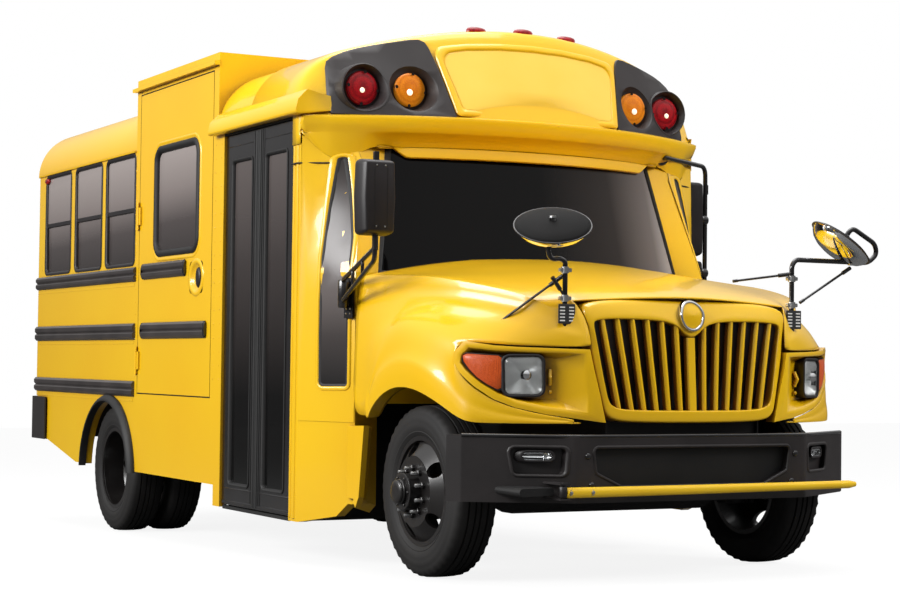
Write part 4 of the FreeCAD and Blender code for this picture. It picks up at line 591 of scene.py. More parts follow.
def sheet(outline, holes, spacing, place):
    """fine triangles over an outline less its holes, set in space by place(a, b)"""
    coords, edges = [], []
    for loop in [outline] + holes:
        first = len(coords)
        coords += loop
        edges += [(first + i, first + (i + 1) % len(loop)) for i in range(len(loop))]
    rim_points = list(coords)
    low = [min(p[k] for p in outline) for k in (0, 1)]
    high = [max(p[k] for p in outline) for k in (0, 1)]
    for i in range(1, int((high[0] - low[0]) / spacing) + 1):
        for j in range(1, int((high[1] - low[1]) / spacing) + 1):
            p = Vector((low[0] + i * spacing, low[1] + j * spacing))
            if (is_inside(p, outline) and not any(is_inside(p, hole) for hole in holes)
                    and min((p - q).length for q in rim_points) > spacing * 0.45):
                coords.append(p)
    flat, _, faces = delaunay_2d_cdt(coords, edges, [], 0, 1e-4)[:3]
    kept = []
    for face in faces:
        middle = sum((flat[i] for i in face), Vector((0, 0))) / len(face)
        if is_inside(middle, outline) and not any(is_inside(middle, hole) for hole in holes):
            kept.append(tuple(face))
    return [place(p.x, p.y) for p in flat], kept


def circle(centre, radius):
    """flat circle as an outline"""
    return [Vector((centre[0] + radius * c, centre[1] + radius * s)) for c, s in around(40)]


# %% [markdown]
# The hood and both front fenders are one glassfibre moulding that tilts forward over the wheels.
# A moulding like this is one flowing skin, so it is a net of points with a subdivision on top:
# every row of the net crosses the bus at one place, from the centreline out to the fender's
# shoulder. Five lines are kept firm: the bonnet's crease that runs to the grille's corner, the
# ridge over the engine side, the fender's crest, the flare's crest and the wheel arch's edge.


# %% The hood's rows above the shoulder
# centre (y, z), bonnet crease, flank, ridge, valley, crest, fender top and shoulder (x, y, z)
HOOD_ROWS = (
    ((620, 1566), (440, 620, 1545), (760, 620, 1500), (1052, 620, 1440), (1070, 620, 1350), (1085, 620, 1225),
     (1092, 620, 1000), (1097, 620, 745)),
    ((475, 1546), (460, 475, 1526), (775, 475, 1485), (1040, 480, 1438), (1058, 470, 1345), (1080, 470, 1232),
     (1100, 470, 1000), (1108, 450, 750)),
    ((395, 1535), (475, 395, 1513), (778, 395, 1475), (1030, 400, 1436), (1046, 392, 1342), (1075, 390, 1232),
     (1104, 420, 1090), (1110, 402, 918)),
    ((305, 1524), (488, 305, 1502), (780, 305, 1465), (1015, 310, 1433), (1030, 303, 1340), (1064, 300, 1236),
     (1098, 350, 1140), (1109, 332, 1039)),
    ((205, 1511), (502, 205, 1487), (783, 205, 1455), (1000, 210, 1430), (1008, 208, 1338), (1038, 215, 1266),
     (1082, 265, 1190), (1101, 282, 1120)),
    ((105, 1497), (515, 105, 1470), (785, 105, 1443), (985, 110, 1426), (985, 108, 1335), (1012, 110, 1283),
     (1058, 170, 1240), (1092, 197, 1183)),
    ((0, 1483), (532, 0, 1453), (780, 0, 1431), (960, 0, 1415), (960, 0, 1330), (985, 0, 1290),
     (1042, 60, 1252), (1086, 95, 1200)),
    ((-105, 1467), (548, -105, 1436), (775, -105, 1418), (930, -110, 1400), (936, -105, 1324),
     (960, -110, 1287), (1020, -85, 1248), (1072, -60, 1194)),
    ((-290, 1438), (575, -290, 1398), (745, -290, 1386), (880, -285, 1374), (880, -295, 1302),
     (910, -290, 1266), (985, -265, 1225), (1056, -220, 1160)),
    ((-455, 1401), (596, -455, 1363), (712, -455, 1350), (812, -450, 1342), (812, -460, 1272),
     (838, -470, 1236), (945, -415, 1190), (1044, -346, 1120)),
    ((-575, 1373), (604, -555, 1336), (672, -552, 1314), (745, -545, 1306), (738, -562, 1243),
     (756, -582, 1204), (846, -545, 1158), (939, -504, 1098)),
    ((-645, 1352), (604, -596, 1318), (650, -588, 1296), (690, -596, 1262), (668, -634, 1195),
     (660, -664, 1155), (695, -650, 1125), (740, -624, 1090)),
    ((-704, 1330), (600, -626, 1300), (588, -652, 1284), (566, -684, 1225), (554, -706, 1165),
     (551, -712, 1128), (550, -716, 1106), (550, -720, 1088)),
)


# %% The fender's rows below it
# below the shoulder: shoulder or lamp panel's edge, flare's crest and wheel arch's edge
FENDER_ROWS = (
    ((1108, 450, 750), (1112, 438, 744), (1116, 410, 738)),
    ((1110, 402, 918), (1119, 404, 838), (1119, 372, 780)),
    ((1109, 332, 1039), (1120, 352, 912), (1120, 320, 818)),
    ((1101, 282, 1120), (1120, 276, 965), (1120, 250, 856)),
    ((1092, 197, 1183), (1120, 180, 1002), (1120, 162, 884)),
    ((1086, 95, 1200), (1120, 66, 1024), (1120, 58, 896)),
    ((1072, -60, 1194), (1119, -82, 1014), (1119, -72, 889)),
    ((1056, -220, 1160), (1106, -220, 968), (1110, -196, 858)),
    ((1044, -346, 1120), (1078, -324, 905), (1088, -292, 818)),
    ((1070, -362, 1012), (1062, -378, 862), (1070, -350, 786)),
    ((1034, -414, 936), (1044, -418, 822), (1050, -412, 757)),
    ((1006, -450, 900), (1018, -455, 800), (1024, -452, 744)),
    ((938, -504, 845), (950, -503, 782), (958, -500, 742)),
    ((852, -562, 808), (862, -560, 766), (868, -558, 742)),
    ((732, -630, 780), (738, -630, 756), (742, -628, 742)),
    ((620, -690, 763), (622, -690, 752), (622, -690, 743)),
)
ARCH_RETURN = 70     # how far the arch's edge turns inboard


# %% The hood's net
def hood_net():
    """left half of the moulding as one net of quads"""
    rows = []
    for (y, z), crease, *rest in HOOD_ROWS:
        start, crease = Vector((0, y, z)), Vector(crease)
        quarter = start.lerp(crease, 0.5) + Vector((0, 0, 5))
        if y < -600:
            quarter.y -= 14
        rows.append([start, quarter, crease] + [Vector(p) for p in rest])
    upper = skin(rows, closed=False)
    rows = []
    for shoulder, crest, edge in FENDER_ROWS:
        a, b, c = Vector(shoulder), Vector(crest), Vector(edge)
        bulge = Vector((4, 0, 0))
        inner = c + Vector((-ARCH_RETURN, 0, 0))
        rows.append([a, a.lerp(b, 0.4) + bulge * 0.5, a.lerp(b, 0.78) - bulge, b, b.lerp(c, 0.55) + bulge, c,
                     c + Vector((-12, 0, -1)), inner])
    lower = skin(rows, closed=False)
    return [upper, lower]


# %% The hood's firm lines
def on_line(p, line):
    """is a point one of a line's points, on either side"""
    return any(max(abs(abs(p.x) - q[0]), abs(p.y - q[1]), abs(p.z - q[2])) < 2 for q in line)


FIRM_LINES = [[row[column] for row in table] for table, column in (
    (HOOD_ROWS, 1), (HOOD_ROWS, 3), (HOOD_ROWS, 5), (FENDER_ROWS, 1), (FENDER_ROWS, 2))]
FIRMNESS = (0.6, 0.66, 0.35, 0.45, 0.8)


def hood_crease(a, b):
    """how firm the edge between two points is"""
    for line, firm in zip(FIRM_LINES, FIRMNESS):
        if on_line(a, line) and on_line(b, line):
            return firm
    return 0.0


shell = piece("hood_moulding", both(hood_net()), moulded_yellow, "hood_assembly", thick=7,
              levels=2, crease=hood_crease, outward=(0, 0, 900), smooth=35)
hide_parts("hood")
print("hood net", len(shell.data.vertices), "points")


# %% [markdown]
# The grille shell is the middle of the hood's nose: a rounded frame that leans back upwards, with
# a shallow V in its top edge. A seam parts it from the fenders. Its bars are thin moulded fins with a
# rounded front edge; they fan out upwards and their sides taper back to a black plate that stands for the
# shade behind.


# %% Grille shell
SHELL_EDGE = ((0, 1325), (150, 1324), (300, 1320), (450, 1310), (582, 1288), (562, 1222), (548, 1150),
              (544, 1082), (528, 1000), (508, 915), (488, 830), (470, 752), (310, 745), (155, 742), (0, 742))
SHELL_INNER = ((0, 1128), (46, 1160), (92, 1212), (320, 1219), (512, 1216), (524, 1195), (512, 1140),
               (500, 1075), (487, 1000), (474, 930), (461, 862), (440, 812), (300, 805), (150, 804), (0, 804))


def nose_y(x, z):
    """front face of the nose, which leans back upwards and bows back towards its sides"""
    return -742 + 0.062 * (z - 745) + 24 * (x / 550) ** 2 + (0.0042 * max(z - 1235, 0) ** 2)


def shell_loop(points, depth):
    """closed loop on the nose, depth behind its face, from its right half"""
    half = [Vector((x, nose_y(x, z) + depth, z)) for x, z in points]
    return half + [Vector((-p.x, p.y, p.z)) for p in half[-2:0:-1]]


def between(a, b, t):
    """outline a share of the way from one to another"""
    return [(p[0] + (q[0] - p[0]) * t, p[1] + (q[1] - p[1]) * t) for p, q in zip(a, b)]


shell_loops = [shell_loop(SHELL_EDGE, 70), shell_loop(between(SHELL_EDGE, SHELL_INNER, 0.03), 3),
               shell_loop(between(SHELL_EDGE, SHELL_INNER, 0.22), -3),
               shell_loop(between(SHELL_EDGE, SHELL_INNER, 0.7), -6),
               shell_loop(between(SHELL_EDGE, SHELL_INNER, 0.93), -8), shell_loop(SHELL_INNER, -3),
               shell_loop(SHELL_INNER, 42)]
piece("grille_shell", [skin(shell_loops)], moulded_yellow, "hood_assembly", levels=2,
      outward=(0, -650, 1000), smooth=35)


# %% Grille bars and the black plate behind them that stands for shade
bars = []
BAR_PITCH = (66, 79)      # at the bottom and at the top
for n in range(-6, 7):
    half = 24 if n == 0 else 13
    loops = []
    for z in (800, 1225):
        x = n * (BAR_PITCH[0] + (BAR_PITCH[1] - BAR_PITCH[0]) * (z - 800) / 425)
        top = z if z == 800 else min(1224, 1140 + abs(x) * 0.9)
        x = n * (BAR_PITCH[0] + (BAR_PITCH[1] - BAR_PITCH[0]) * (top - 800) / 425)
        y = nose_y(x, top)
        section = ((-half, 30), (-half, 8), (-half + 5, 1), (0, -2), (half - 5, 1), (half, 8), (half, 30),
                   (half * 0.5, 46), (-half * 0.5, 46))
        loops.append([Vector((x + a, y + b, top)) for a, b in section])
    bars.append(skin(loops, capped=True))
grille_bars = piece("grille_bars", bars, moulded_yellow, "hood_assembly", bevel=1.5, smooth=35)
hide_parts("grille")
# Painted shade: a plain black plate behind the bars hides the engine bay and stands for the shade in it.
piece("grille_shade_plate",
      [prism([Vector(p) for p in ((-500, 790), (500, 790), (555, 1235), (-555, 1235))], "y", -672, -668)],
      satin_black, "hood_assembly", smooth=35)


# %% [markdown]
# The lamp panel fills the corner between the shell, the hood's edge and the low fender. It is
# wrapped on the fender's plan, so its outlines are given by x and z, and the plan gives y. The
# panel's border is flush; the tub inside it is 52 mm deep, and its walls slope in to its floor.


# %% Lamp panel
FENDER_PLAN = ((466, -731), (545, -723), (600, -702), (700, -647), (800, -592), (900, -536), (960, -494),
               (1010, -449), (1045, -402), (1068, -352), (1085, -300), (1098, -240))


def on_plan(x, z, depth=0.0):
    """point on the fender's plan at this x, moved inwards by depth"""
    for a, b in zip(FENDER_PLAN, FENDER_PLAN[1:]):
        if x <= b[0]:
            break
    t = (x - a[0]) / (b[0] - a[0])
    way = Vector((b[0] - a[0], b[1] - a[1])).normalized()
    return Vector((x - way.y * depth, a[1] + (b[1] - a[1]) * t + way.x * depth, z))


PANEL_EDGE = ((555, 1078), (650, 1080), (745, 1083), (842, 1086), (938, 1092), (1036, 1110), (1064, 1058),
              (1066, 1012), (1053, 976), (1030, 938), (1003, 904), (935, 849), (850, 812), (730, 784),
              (618, 767), (474, 748), (505, 880), (535, 990))
PANEL_RIM = ((574, 1060), (655, 1061), (745, 1063), (842, 1066), (932, 1070), (1024, 1082), (1046, 1048),
             (1048, 1012), (1034, 982), (1010, 948), (982, 919), (920, 874), (846, 845), (740, 820),
             (650, 806), (556, 790), (560, 890), (568, 985))
PANEL_TUB = ((696, 1036), (712, 1039), (760, 1040), (842, 1044), (922, 1048), (1014, 1058), (1036, 1038),
             (1038, 1008), (1024, 984), (1000, 954), (972, 926), (914, 887), (846, 862), (764, 852),
             (718, 850), (698, 852), (692, 905), (690, 975))
TUB_DEEP = 52


def plan_loop(points, depth):
    """(x, z) points set on the fender's plan"""
    return [on_plan(x, z, depth) for x, z in points]


panel = skin([plan_loop(PANEL_EDGE, 60), plan_loop(PANEL_EDGE, 1),
              plan_loop(between(PANEL_EDGE, PANEL_RIM, 0.5), -1), plan_loop(PANEL_RIM, 1),
              plan_loop(between(PANEL_RIM, PANEL_TUB, 0.1), 4), plan_loop(PANEL_TUB, TUB_DEEP)])
tub = [Vector(p) for p in PANEL_TUB]
HEAD_EDGE = ((746, 874), (892, 872), (896, 1040), (748, 1042))
head_outline = rounded([(*p, 24) for p in HEAD_EDGE], 6)
tub_floor = sheet(tub, [head_outline], 60, lambda x, z: on_plan(x, z, TUB_DEEP))
piece("lamp_panels", both([panel, tub_floor]), moulded_yellow, "hood_assembly", outward=(0, -300, 950))


# %% [markdown]
# Each lamp panel holds a sealed rectangular headlamp in a black bezel, and outboard of it a turn
# lamp whose orange lens follows the fender. The headlamp is an aluminised bowl behind clear glass.


# %% Headlamps and turn lamps
head_middle = Vector((820, 957))


def drawn_in(outline, middle, section):
    """loops drawn in to a middle on the fender's plan, from (share, depth) pairs"""
    return [[on_plan(middle.x + (x - middle.x) * share, middle.y + (z - middle.y) * share, depth)
             for x, z in outline] for share, depth in section]


bezel = bead(head_outline, ((-15, 52), (-13, 4), (-8, 1), (-2, 3), (2, 10)), on_plan)
piece("headlamp_bezels", both([bezel]), satin_black, "hood_assembly", thick=2, outward=(0, -300, 950))
bowl = skin([[on_plan(p.x, p.y, 12) for p in shrunk(head_outline, 1)]] + drawn_in(
    head_outline, head_middle, ((0.85, 26), (0.62, 40), (0.4, 50), (0.18, 57), (0.02, 60))))
piece("headlamp_bowls", both([bowl]), reflector, "hood_assembly", smooth=60)
glass = skin(drawn_in(head_outline, head_middle, ((1.0, 13), (0.97, 7), (0.8, 2), (0.5, -2), (0.02, -4))))
head_glass = piece("headlamp_lenses", both([glass]), clear_cover, "hood_assembly", smooth=60, thick=3,
                   outward=(0, -300, 950))
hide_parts("headlamps")
shade = [turned([(0, 2), (-2, 17), (-6, 22), (-34, 22), (-40, 14), (-42, 1)], on_plan(820, 960, 20), "y", 24)]
piece("headlamp_bulb_shields", both(shade), chrome, "hood_assembly", smooth=35)

TURN_EDGE = ((908, 900), (905, 980), (907, 1036), (920, 1046), (985, 1050), (1030, 1054), (1044, 1046),
             (1040, 1018), (1024, 984), (996, 946), (958, 914), (922, 893))
turn_middle = Vector((970, 990))
turn_lamp = skin(drawn_in(TURN_EDGE, turn_middle, ((1.0, 52), (1.0, 12), (0.96, 7), (0.6, 4), (0.05, 3))),
                 capped=True)
turn_seal = skin(drawn_in(TURN_EDGE, turn_middle, ((1.07, 52), (1.07, 9), (1.02, 8), (0.99, 14))))
piece("turn_lamps", both([turn_lamp]), turn_lens, "hood_assembly")
piece("turn_lamp_seals", both([turn_seal]), black_rubber, "hood_assembly")
aimers = [tube([on_plan(716, 916, 46), on_plan(716, 950, 30), on_plan(716, 984, 46)], 10, 10),
          turned([(0, 1), (-3, 7), (-10, 9), (-14, 6), (-16, 1)], on_plan(716, 884, 46), "y", 16)]
piece("headlamp_aim_screws", both(aimers), moulded_yellow, "hood_assembly", "yellow_plastic", smooth=35)


# %% [markdown]
# The front roof cap is one fibreglass moulding: the roof's front end with a rounded edge, the
# leaning face that carries the lamps and the sign, the brow that juts out over the windshield, and
# the header under it. Its skin is drawn as rows that run right round the front, from one
# door post to the other.


# %% Roof cap
HALF, EAVE, CROWN, ROOF_CORNER = 1227, 2311, 2783, 338
NOSE_RADIUS, NOSE_CENTRE, FACE_LOW, LEAN = 2018.7, 2635.7, 2273, math.tan(math.radians(21))
CAP_REAR, DOOR_POST, GLASS_RADIUS = 1700, 1116, 2000
ACROSS, RISE = HALF - ROOF_CORNER, CROWN - EAVE
BELOW = (ACROSS ** 2 - (RISE - ROOF_CORNER) ** 2) / (2 * (RISE - ROOF_CORNER))


def arch_point(share, inwards=0.0):
    """point on the roof's section, share from -1 at the right eave to 1 at the left eave"""
    crown_radius = RISE + BELOW
    lean = math.atan2(ACROSS, BELOW)
    crown_run, corner_run = crown_radius * lean, ROOF_CORNER * (math.pi / 2 - lean)
    run = abs(share) * (crown_run + corner_run)
    if run < crown_run:
        angle, centre, radius = run / crown_radius, (0, EAVE - BELOW), crown_radius - inwards
    else:
        angle, centre, radius = lean + (run - crown_run) / ROOF_CORNER, (ACROSS, EAVE), ROOF_CORNER - inwards
    x = centre[0] + radius * math.sin(angle)
    return Vector((math.copysign(x, share), centre[1] + radius * math.cos(angle)))


# %% The cap's leaning face and the line under its brow
def face_y(x, z, out=0.0):
    """cap's leaning face; out stands it forward"""
    return NOSE_CENTRE - math.sqrt((NOSE_RADIUS + out) ** 2 - min(abs(x), 1240) ** 2) + LEAN * (z - 2270)


def on_face(x, z, out=0.0):
    """point on the cap's leaning face"""
    return Vector((x, face_y(x, z, out), z))


def under_brow(x):
    """line where the brow's underside meets the header and the corner columns"""
    side = abs(x)
    if side < 796:
        return 2706 - 34 - math.sqrt(GLASS_RADIUS ** 2 - side ** 2)
    return 838 + (side - 796) * 0.2 if side < 942 else 867 + (side - 942) * 0.53


# %% Rows of the roof's end and the leaning face
SHARES = [n / 60 for n in range(-60, 61)]
FACE_ROWS = 22
rows = []
for back, inwards in ((CAP_REAR, 0), (None, 0), (26, 2), (9, 9), (1, 22)):
    row = []
    for share in SHARES:
        p = arch_point(share, inwards)
        y = CAP_REAR if back == CAP_REAR else face_y(p.x, p.y) + (70 if back is None else back)
        row.append(Vector((p.x, y, p.y)))
    rows.append(row)
for down in range(1, FACE_ROWS + 1):
    row = []
    for share in SHARES:
        top = arch_point(share, 40)
        base = Vector((share * (HALF - 6), FACE_LOW))
        p = top.lerp(base, down / FACE_ROWS)
        row.append(on_face(p.x, p.y))
    rows.append(row)


# %% Rows of the brow and the header
# brow's front: out from the face's foot, and height; then its underside, as shares of the way in
BROW = ((30, 2275), (46, 2268), (49, 2252), (38, 2215), (24, 2188))
SOFFIT = (0.05, 0.2, 0.45, 0.7, 0.9, 1.0)


def soffit_low(x):
    """height at which the brow's underside meets the header; it sweeps down over the corner posts"""
    side = abs(x)
    if side < 860:
        return 2120
    fall = min(1, (side - 860) / 220)
    return 2120 - 85 * fall * fall * (3 - 2 * fall) if side < 1080 else 2035 + (side - 1080) * 1.1


for step, (out, z) in enumerate(BROW + tuple((24, 2188) for _ in SOFFIT)):
    inner = SOFFIT[step - len(BROW)] if step >= len(BROW) else 0
    row = []
    for share in SHARES:
        x = share * (HALF - 2)
        edge = max(0.0, (abs(share) - 0.9) / 0.1)
        y = NOSE_CENTRE - math.sqrt((NOSE_RADIUS + out) ** 2 - x ** 2)
        front = Vector((x - math.copysign(edge * 8 * (z < 2200), x), y + edge * (2275 - z) * 0.35, z))
        row.append(front.lerp(Vector((front.x, under_brow(x), soffit_low(x))), inner)
                   + Vector((0, 0, 9 * math.sin(math.pi * inner))))
    rows.append(row)
for drop, ahead in ((0, -7), (-6, -10), (-50, -16), (-56, -8), (-56, 8)):
    row = []
    for share in SHARES:
        x = share * (HALF - 2)
        depth = drop * (1 if abs(x) < 730 else max(0.02, 1 - (abs(x) - 730) / 75)) if abs(x) < 805 else -1
        row.append(Vector((x * (0.985 if abs(x) < 805 else 1), under_brow(x) + ahead * (abs(x) < 860),
                           soffit_low(x) - 1 + depth)))
    rows.append(row)


# %% The cap's skin, open where the lamps' wells are
points, faces = skin(rows, closed=False)
LAMP_HOLES = ((940, 2420), (689, 2423))
HOLE_REACH = 142


def over_lamp(face):
    """does a face of the cap lie over a lamp's well"""
    middle = sum((points[i] for i in face), Vector()) / len(face)
    return middle.y < 1050 and middle.z > FACE_LOW and any(
        math.hypot(abs(middle.x) - x, middle.z - z) < HOLE_REACH for x, z in LAMP_HOLES)


cap_skin = points, [face for face in faces if not over_lamp(face)]
side_edge = [Vector((row[-1].y, row[-1].z)) for row in rows[1:5 + FACE_ROWS + len(BROW)]]
side_plate = [Vector((CAP_REAR, EAVE)), *side_edge] + [Vector(p) for p in (
    (1021, 2186), (1021, 2126), (DOOR_POST, 2126), (DOOR_POST, EAVE - 1))]
cheeks = [sheet(side_plate, [], 400, lambda y, z: Vector((HALF - 2, y, z)))]
cap = piece("roof_cap", [cap_skin] + both(cheeks), moulded_yellow, smooth=40, thick=8,
            outward=(0, 1300, 2200))
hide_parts("front_cap")
print("roof cap", len(cap.data.vertices), "points")


# %% [markdown]
# Each side of the cap has a black lamp panel, a bulging cover whose edge follows the roofline. The
# red lamp sits outboard in a short tube that stands ahead of the panel, because the face falls
# away there; the amber one is sunk in a round well.


# %% Lamp panels on the cap
PANEL_CAP = [Vector(p) for p in ((497, 2280), (700, 2276), (900, 2277), (1088, 2284), (1096, 2300),
                                 (1090, 2420),
                                 (1082, 2530), (1072, 2566), (1040, 2592), (985, 2618), (924, 2638),
                                 (850, 2656),
                                 (784, 2670), (720, 2683), (660, 2694), (622, 2696), (598, 2684), (582, 2655),
                                 (566, 2600), (548, 2530), (528, 2430))]
RED_LAMP, AMBER_LAMP = (940, 2420), (689, 2423)
RED_FACE, AMBER_FACE, LENS_RADIUS = 880, 830, 88


def panel_point(x, z):
    """black panel's surface, bulging a little towards the red lamp"""
    swell = 22 * math.exp(-((x - 930) / 150) ** 2 - ((z - 2420) / 130) ** 2)
    return on_face(x, z, 10 + swell)


red_hole, amber_hole = circle(RED_LAMP, 128), circle(AMBER_LAMP, 124)
cover = sheet(PANEL_CAP, [red_hole, amber_hole], 42, panel_point)
lip = skin([[panel_point(p.x, p.y) for p in PANEL_CAP],
            [on_face(p.x, p.y, -14) for p in shrunk(PANEL_CAP, -7)]])
red_well = skin([[panel_point(p.x, p.y) for p in red_hole],
                 *[[Vector((p.x, min(ahead, panel_point(p.x, p.y).y + out), p.y))
                    for p in circle(RED_LAMP, radius)]
                   for ahead, out, radius in ((862, -2, 127), (858, -3, 122), (864, 3, 116))],
                 *[placed(circle(RED_LAMP, radius), "y", y) for radius, y in ((100, 900), (20, 902))]])
amber_well = skin([[panel_point(p.x, p.y) for p in amber_hole],
                   [panel_point(p.x, p.y) + Vector((0, 6, 0)) for p in circle(AMBER_LAMP, 119)],
                   [Vector((p.x, max(852, panel_point(p.x, p.y).y + 8), p.y))
                    for p in circle(AMBER_LAMP, 102)], placed(circle(AMBER_LAMP, 20), "y", 854)])
piece("lamp_covers", both([cover, lip, red_well, amber_well]), cap_black, outward=(0, 1500, 2300))


# %% Warning lenses
def warning_lens(x, y, z, way=-1):
    """domed lens seen from in front, with its flange"""
    return turned([(24 * -way, 86), (6 * -way, LENS_RADIUS), (0, LENS_RADIUS), (4 * way, 84), (6 * way, 78),
                   (12 * way, 52), (15 * way, 24), (16 * way, 1)], (x, y, z), "y", 56)


def lens_tabs(x, y, z):
    """four dark clips on a lens's rim"""
    tabs = []
    for turn in range(4):
        a = math.tau * turn / 4 + 0.12
        spot = (x + 84 * math.cos(a), y, z + 84 * math.sin(a))
        tabs.append(turned([(-9, 9), (-9, 2), (6, 2), (6, 9)], spot, "y", 12))
    return tabs


REAR_FACE = 5714
front_reds = [warning_lens(RED_LAMP[0], RED_FACE + 6, RED_LAMP[1])]
front_ambers = [warning_lens(AMBER_LAMP[0], AMBER_FACE + 6, AMBER_LAMP[1])]
rear_reds = [warning_lens(940, REAR_FACE - 14, 2420, 1)]
rear_ambers = [warning_lens(690, REAR_FACE - 14, 2420, 1)]
red_lamps = piece("warning_lenses_red", both(front_reds + rear_reds), red_lens)
piece("warning_lenses_amber", both(front_ambers + rear_ambers), amber_lens)
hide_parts("warning_lamps")
piece("warning_lens_clips",
      both(lens_tabs(RED_LAMP[0], RED_FACE, RED_LAMP[1])
           + lens_tabs(AMBER_LAMP[0], AMBER_FACE, AMBER_LAMP[1])), satin_black, smooth=35)
# Painted glint: a small glowing dome near each warning lens's middle stands for the glint on it.
glint_domes = [turned([(2, 14), (0, 13), (-4, 8), (-5, 1)], (RED_LAMP[0] + 6, RED_FACE - 11, RED_LAMP[1] - 12),
               "y", 20),
        turned([(2, 17), (0, 16), (-4, 10), (-5, 1)],
               (AMBER_LAMP[0] + 8, AMBER_FACE - 11, AMBER_LAMP[1] - 14), "y", 20)]
piece("warning_lens_painted_glints", both(glint_domes), painted_glint, smooth=35)


# %% [markdown]
# Between the lamp panels lies the sign field. On a real bus it carries words; here it stays blank,
# as every sign does in this library. It is a thin panel with a pressed border and round corners.


# %% Sign field
SIGN_TOP = 2700


def sign_outline(inwards):
    """sign's outline on the face; its top follows the crown"""
    low, high = 2284 + inwards, SIGN_TOP - inwards
    corners = [(-492 + inwards, low, 26), (492 - inwards, low, 26), (562 - inwards, high - 42, 60),
               (380, high - 14),
               (190, high), (0, high + 4), (-190, high), (-380, high - 14), (-562 + inwards, high - 42, 60)]
    return rounded(corners, 6)


field = sheet(sign_outline(40), [], 60, lambda x, z: on_face(x, z, 11))
border = skin([[on_face(p.x, p.y, out) for p in sign_outline(inwards)]
               for inwards, out in ((-2, -8), (0, 15), (6, 19), (22, 19), (30, 17), (36, 10), (40, 11))])
piece("sign_field", [field], sign_sheet, outward=(0, 1500, 2300))
piece("sign_border", [border], moulded_yellow, outward=(0, 1500, 2300))


# %% Clearance lamps on the cap, the sides and the rear
def clearance_lamp(seat, along, out, half=(58, 30), height=26):
    """low oval dome on a surface, drawn from its seat, its long direction and the way out"""
    across = along.cross(out).normalized()
    return skin([[seat + along * half[0] * share * c + across * half[1] * share * s + out * height * up
                  for c, s in around(28)]
                 for share, up in ((1.0, -0.3), (1.0, 0.3), (0.86, 0.7), (0.5, 0.93), (0.02, 1.0))])


ALONG_X, ALONG_Y = Vector((1, 0, 0)), Vector((0, 1, 0))
front_marks = []
for x in (-279, 0, 279):
    z = 2311 - BELOW + math.sqrt((RISE + BELOW) ** 2 - x ** 2)
    front_marks.append(clearance_lamp(Vector((x, face_y(x, z) + 46, z - 2)), ALONG_X,
                                      Vector((0, -0.2, 1)).normalized()))
rear_marks = [clearance_lamp(Vector((x, 5700, 2440)), ALONG_X, ALONG_Y, (50, 20), 19) for x in (-279, 0, 279)]
side_marks = both([clearance_lamp(Vector((1219, 5475, 2270)), ALONG_Y, ALONG_X, (45, 20), 14)])
marks = piece("clearance_lamps", front_marks + rear_marks + side_marks, red_lens)
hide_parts("marker_lamps")


# %% [markdown]
# The windshield is one bowed laminated pane, bonded in with a black band. Its band is drawn as a
# thin ring that follows the glass, and two wipers are parked along its foot.


# %% Windshield band and wipers
GLASS_LOW, GLASS_HIGH = 1460, 2125
LOW_CENTRE, TOP_CENTRE = 2496, 2706
LOW_HALF, TOP_HALF = 915, 795


def on_glass(x, z, out=0.0):
    """outer face of the windshield"""
    t = (z - GLASS_LOW) / (GLASS_HIGH - GLASS_LOW)
    centre = LOW_CENTRE + (TOP_CENTRE - LOW_CENTRE) * t
    return Vector((x, centre - math.sqrt((GLASS_RADIUS + out) ** 2 - min(abs(x), 960) ** 2), z))


def glass_outline(inwards):
    """windshield's edge, with many points along its long sides"""
    low = [(-LOW_HALF + inwards + (2 * (LOW_HALF - inwards)) * n / 16, GLASS_LOW + inwards)
           for n in range(17)]
    high = [(TOP_HALF - inwards - (2 * (TOP_HALF - inwards)) * n / 16, GLASS_HIGH - inwards)
            for n in range(17)]
    return [Vector(p) for p in low + high]


band = skin([[on_glass(p.x, p.y, out) for p in glass_outline(inwards)]
             for inwards, out in ((-14, 1), (-10, 9), (4, 10), (13, 6), (14, 1))])
piece("windshield_band", [band], black_rubber)
wipers = []
for foot, tip in (((-620, 1440), (0, 1452)), ((100, 1440), (640, 1452))):
    a, b = on_glass(foot[0], foot[1] + 30, 26), on_glass(tip[0], tip[1], 22)
    middle = on_glass((foot[0] + tip[0]) / 2, (foot[1] + tip[1]) / 2 + 12, 34)
    wipers.append(tube(bent([a, middle, b], 120, 6), 7, 8, 0.6))
    blade = [on_glass(b.x + reach, b.z + reach * 0.02, 12) for reach in (-260, -130, 0, 110, 210)]
    wipers.append(tube(blade, 9, 8, 1.6))
    wipers.append(turned([(-16, 1), (-14, 16), (12, 18), (20, 12)], a, "z", 18))
piece("wipers", wipers, satin_black, smooth=35)


# %% [markdown]
# The entrance door has two narrow black leaves that fold outwards. Each pane sits in a rubber
# channel, and the two inner stiles carry soft upright seals that meet in the middle.


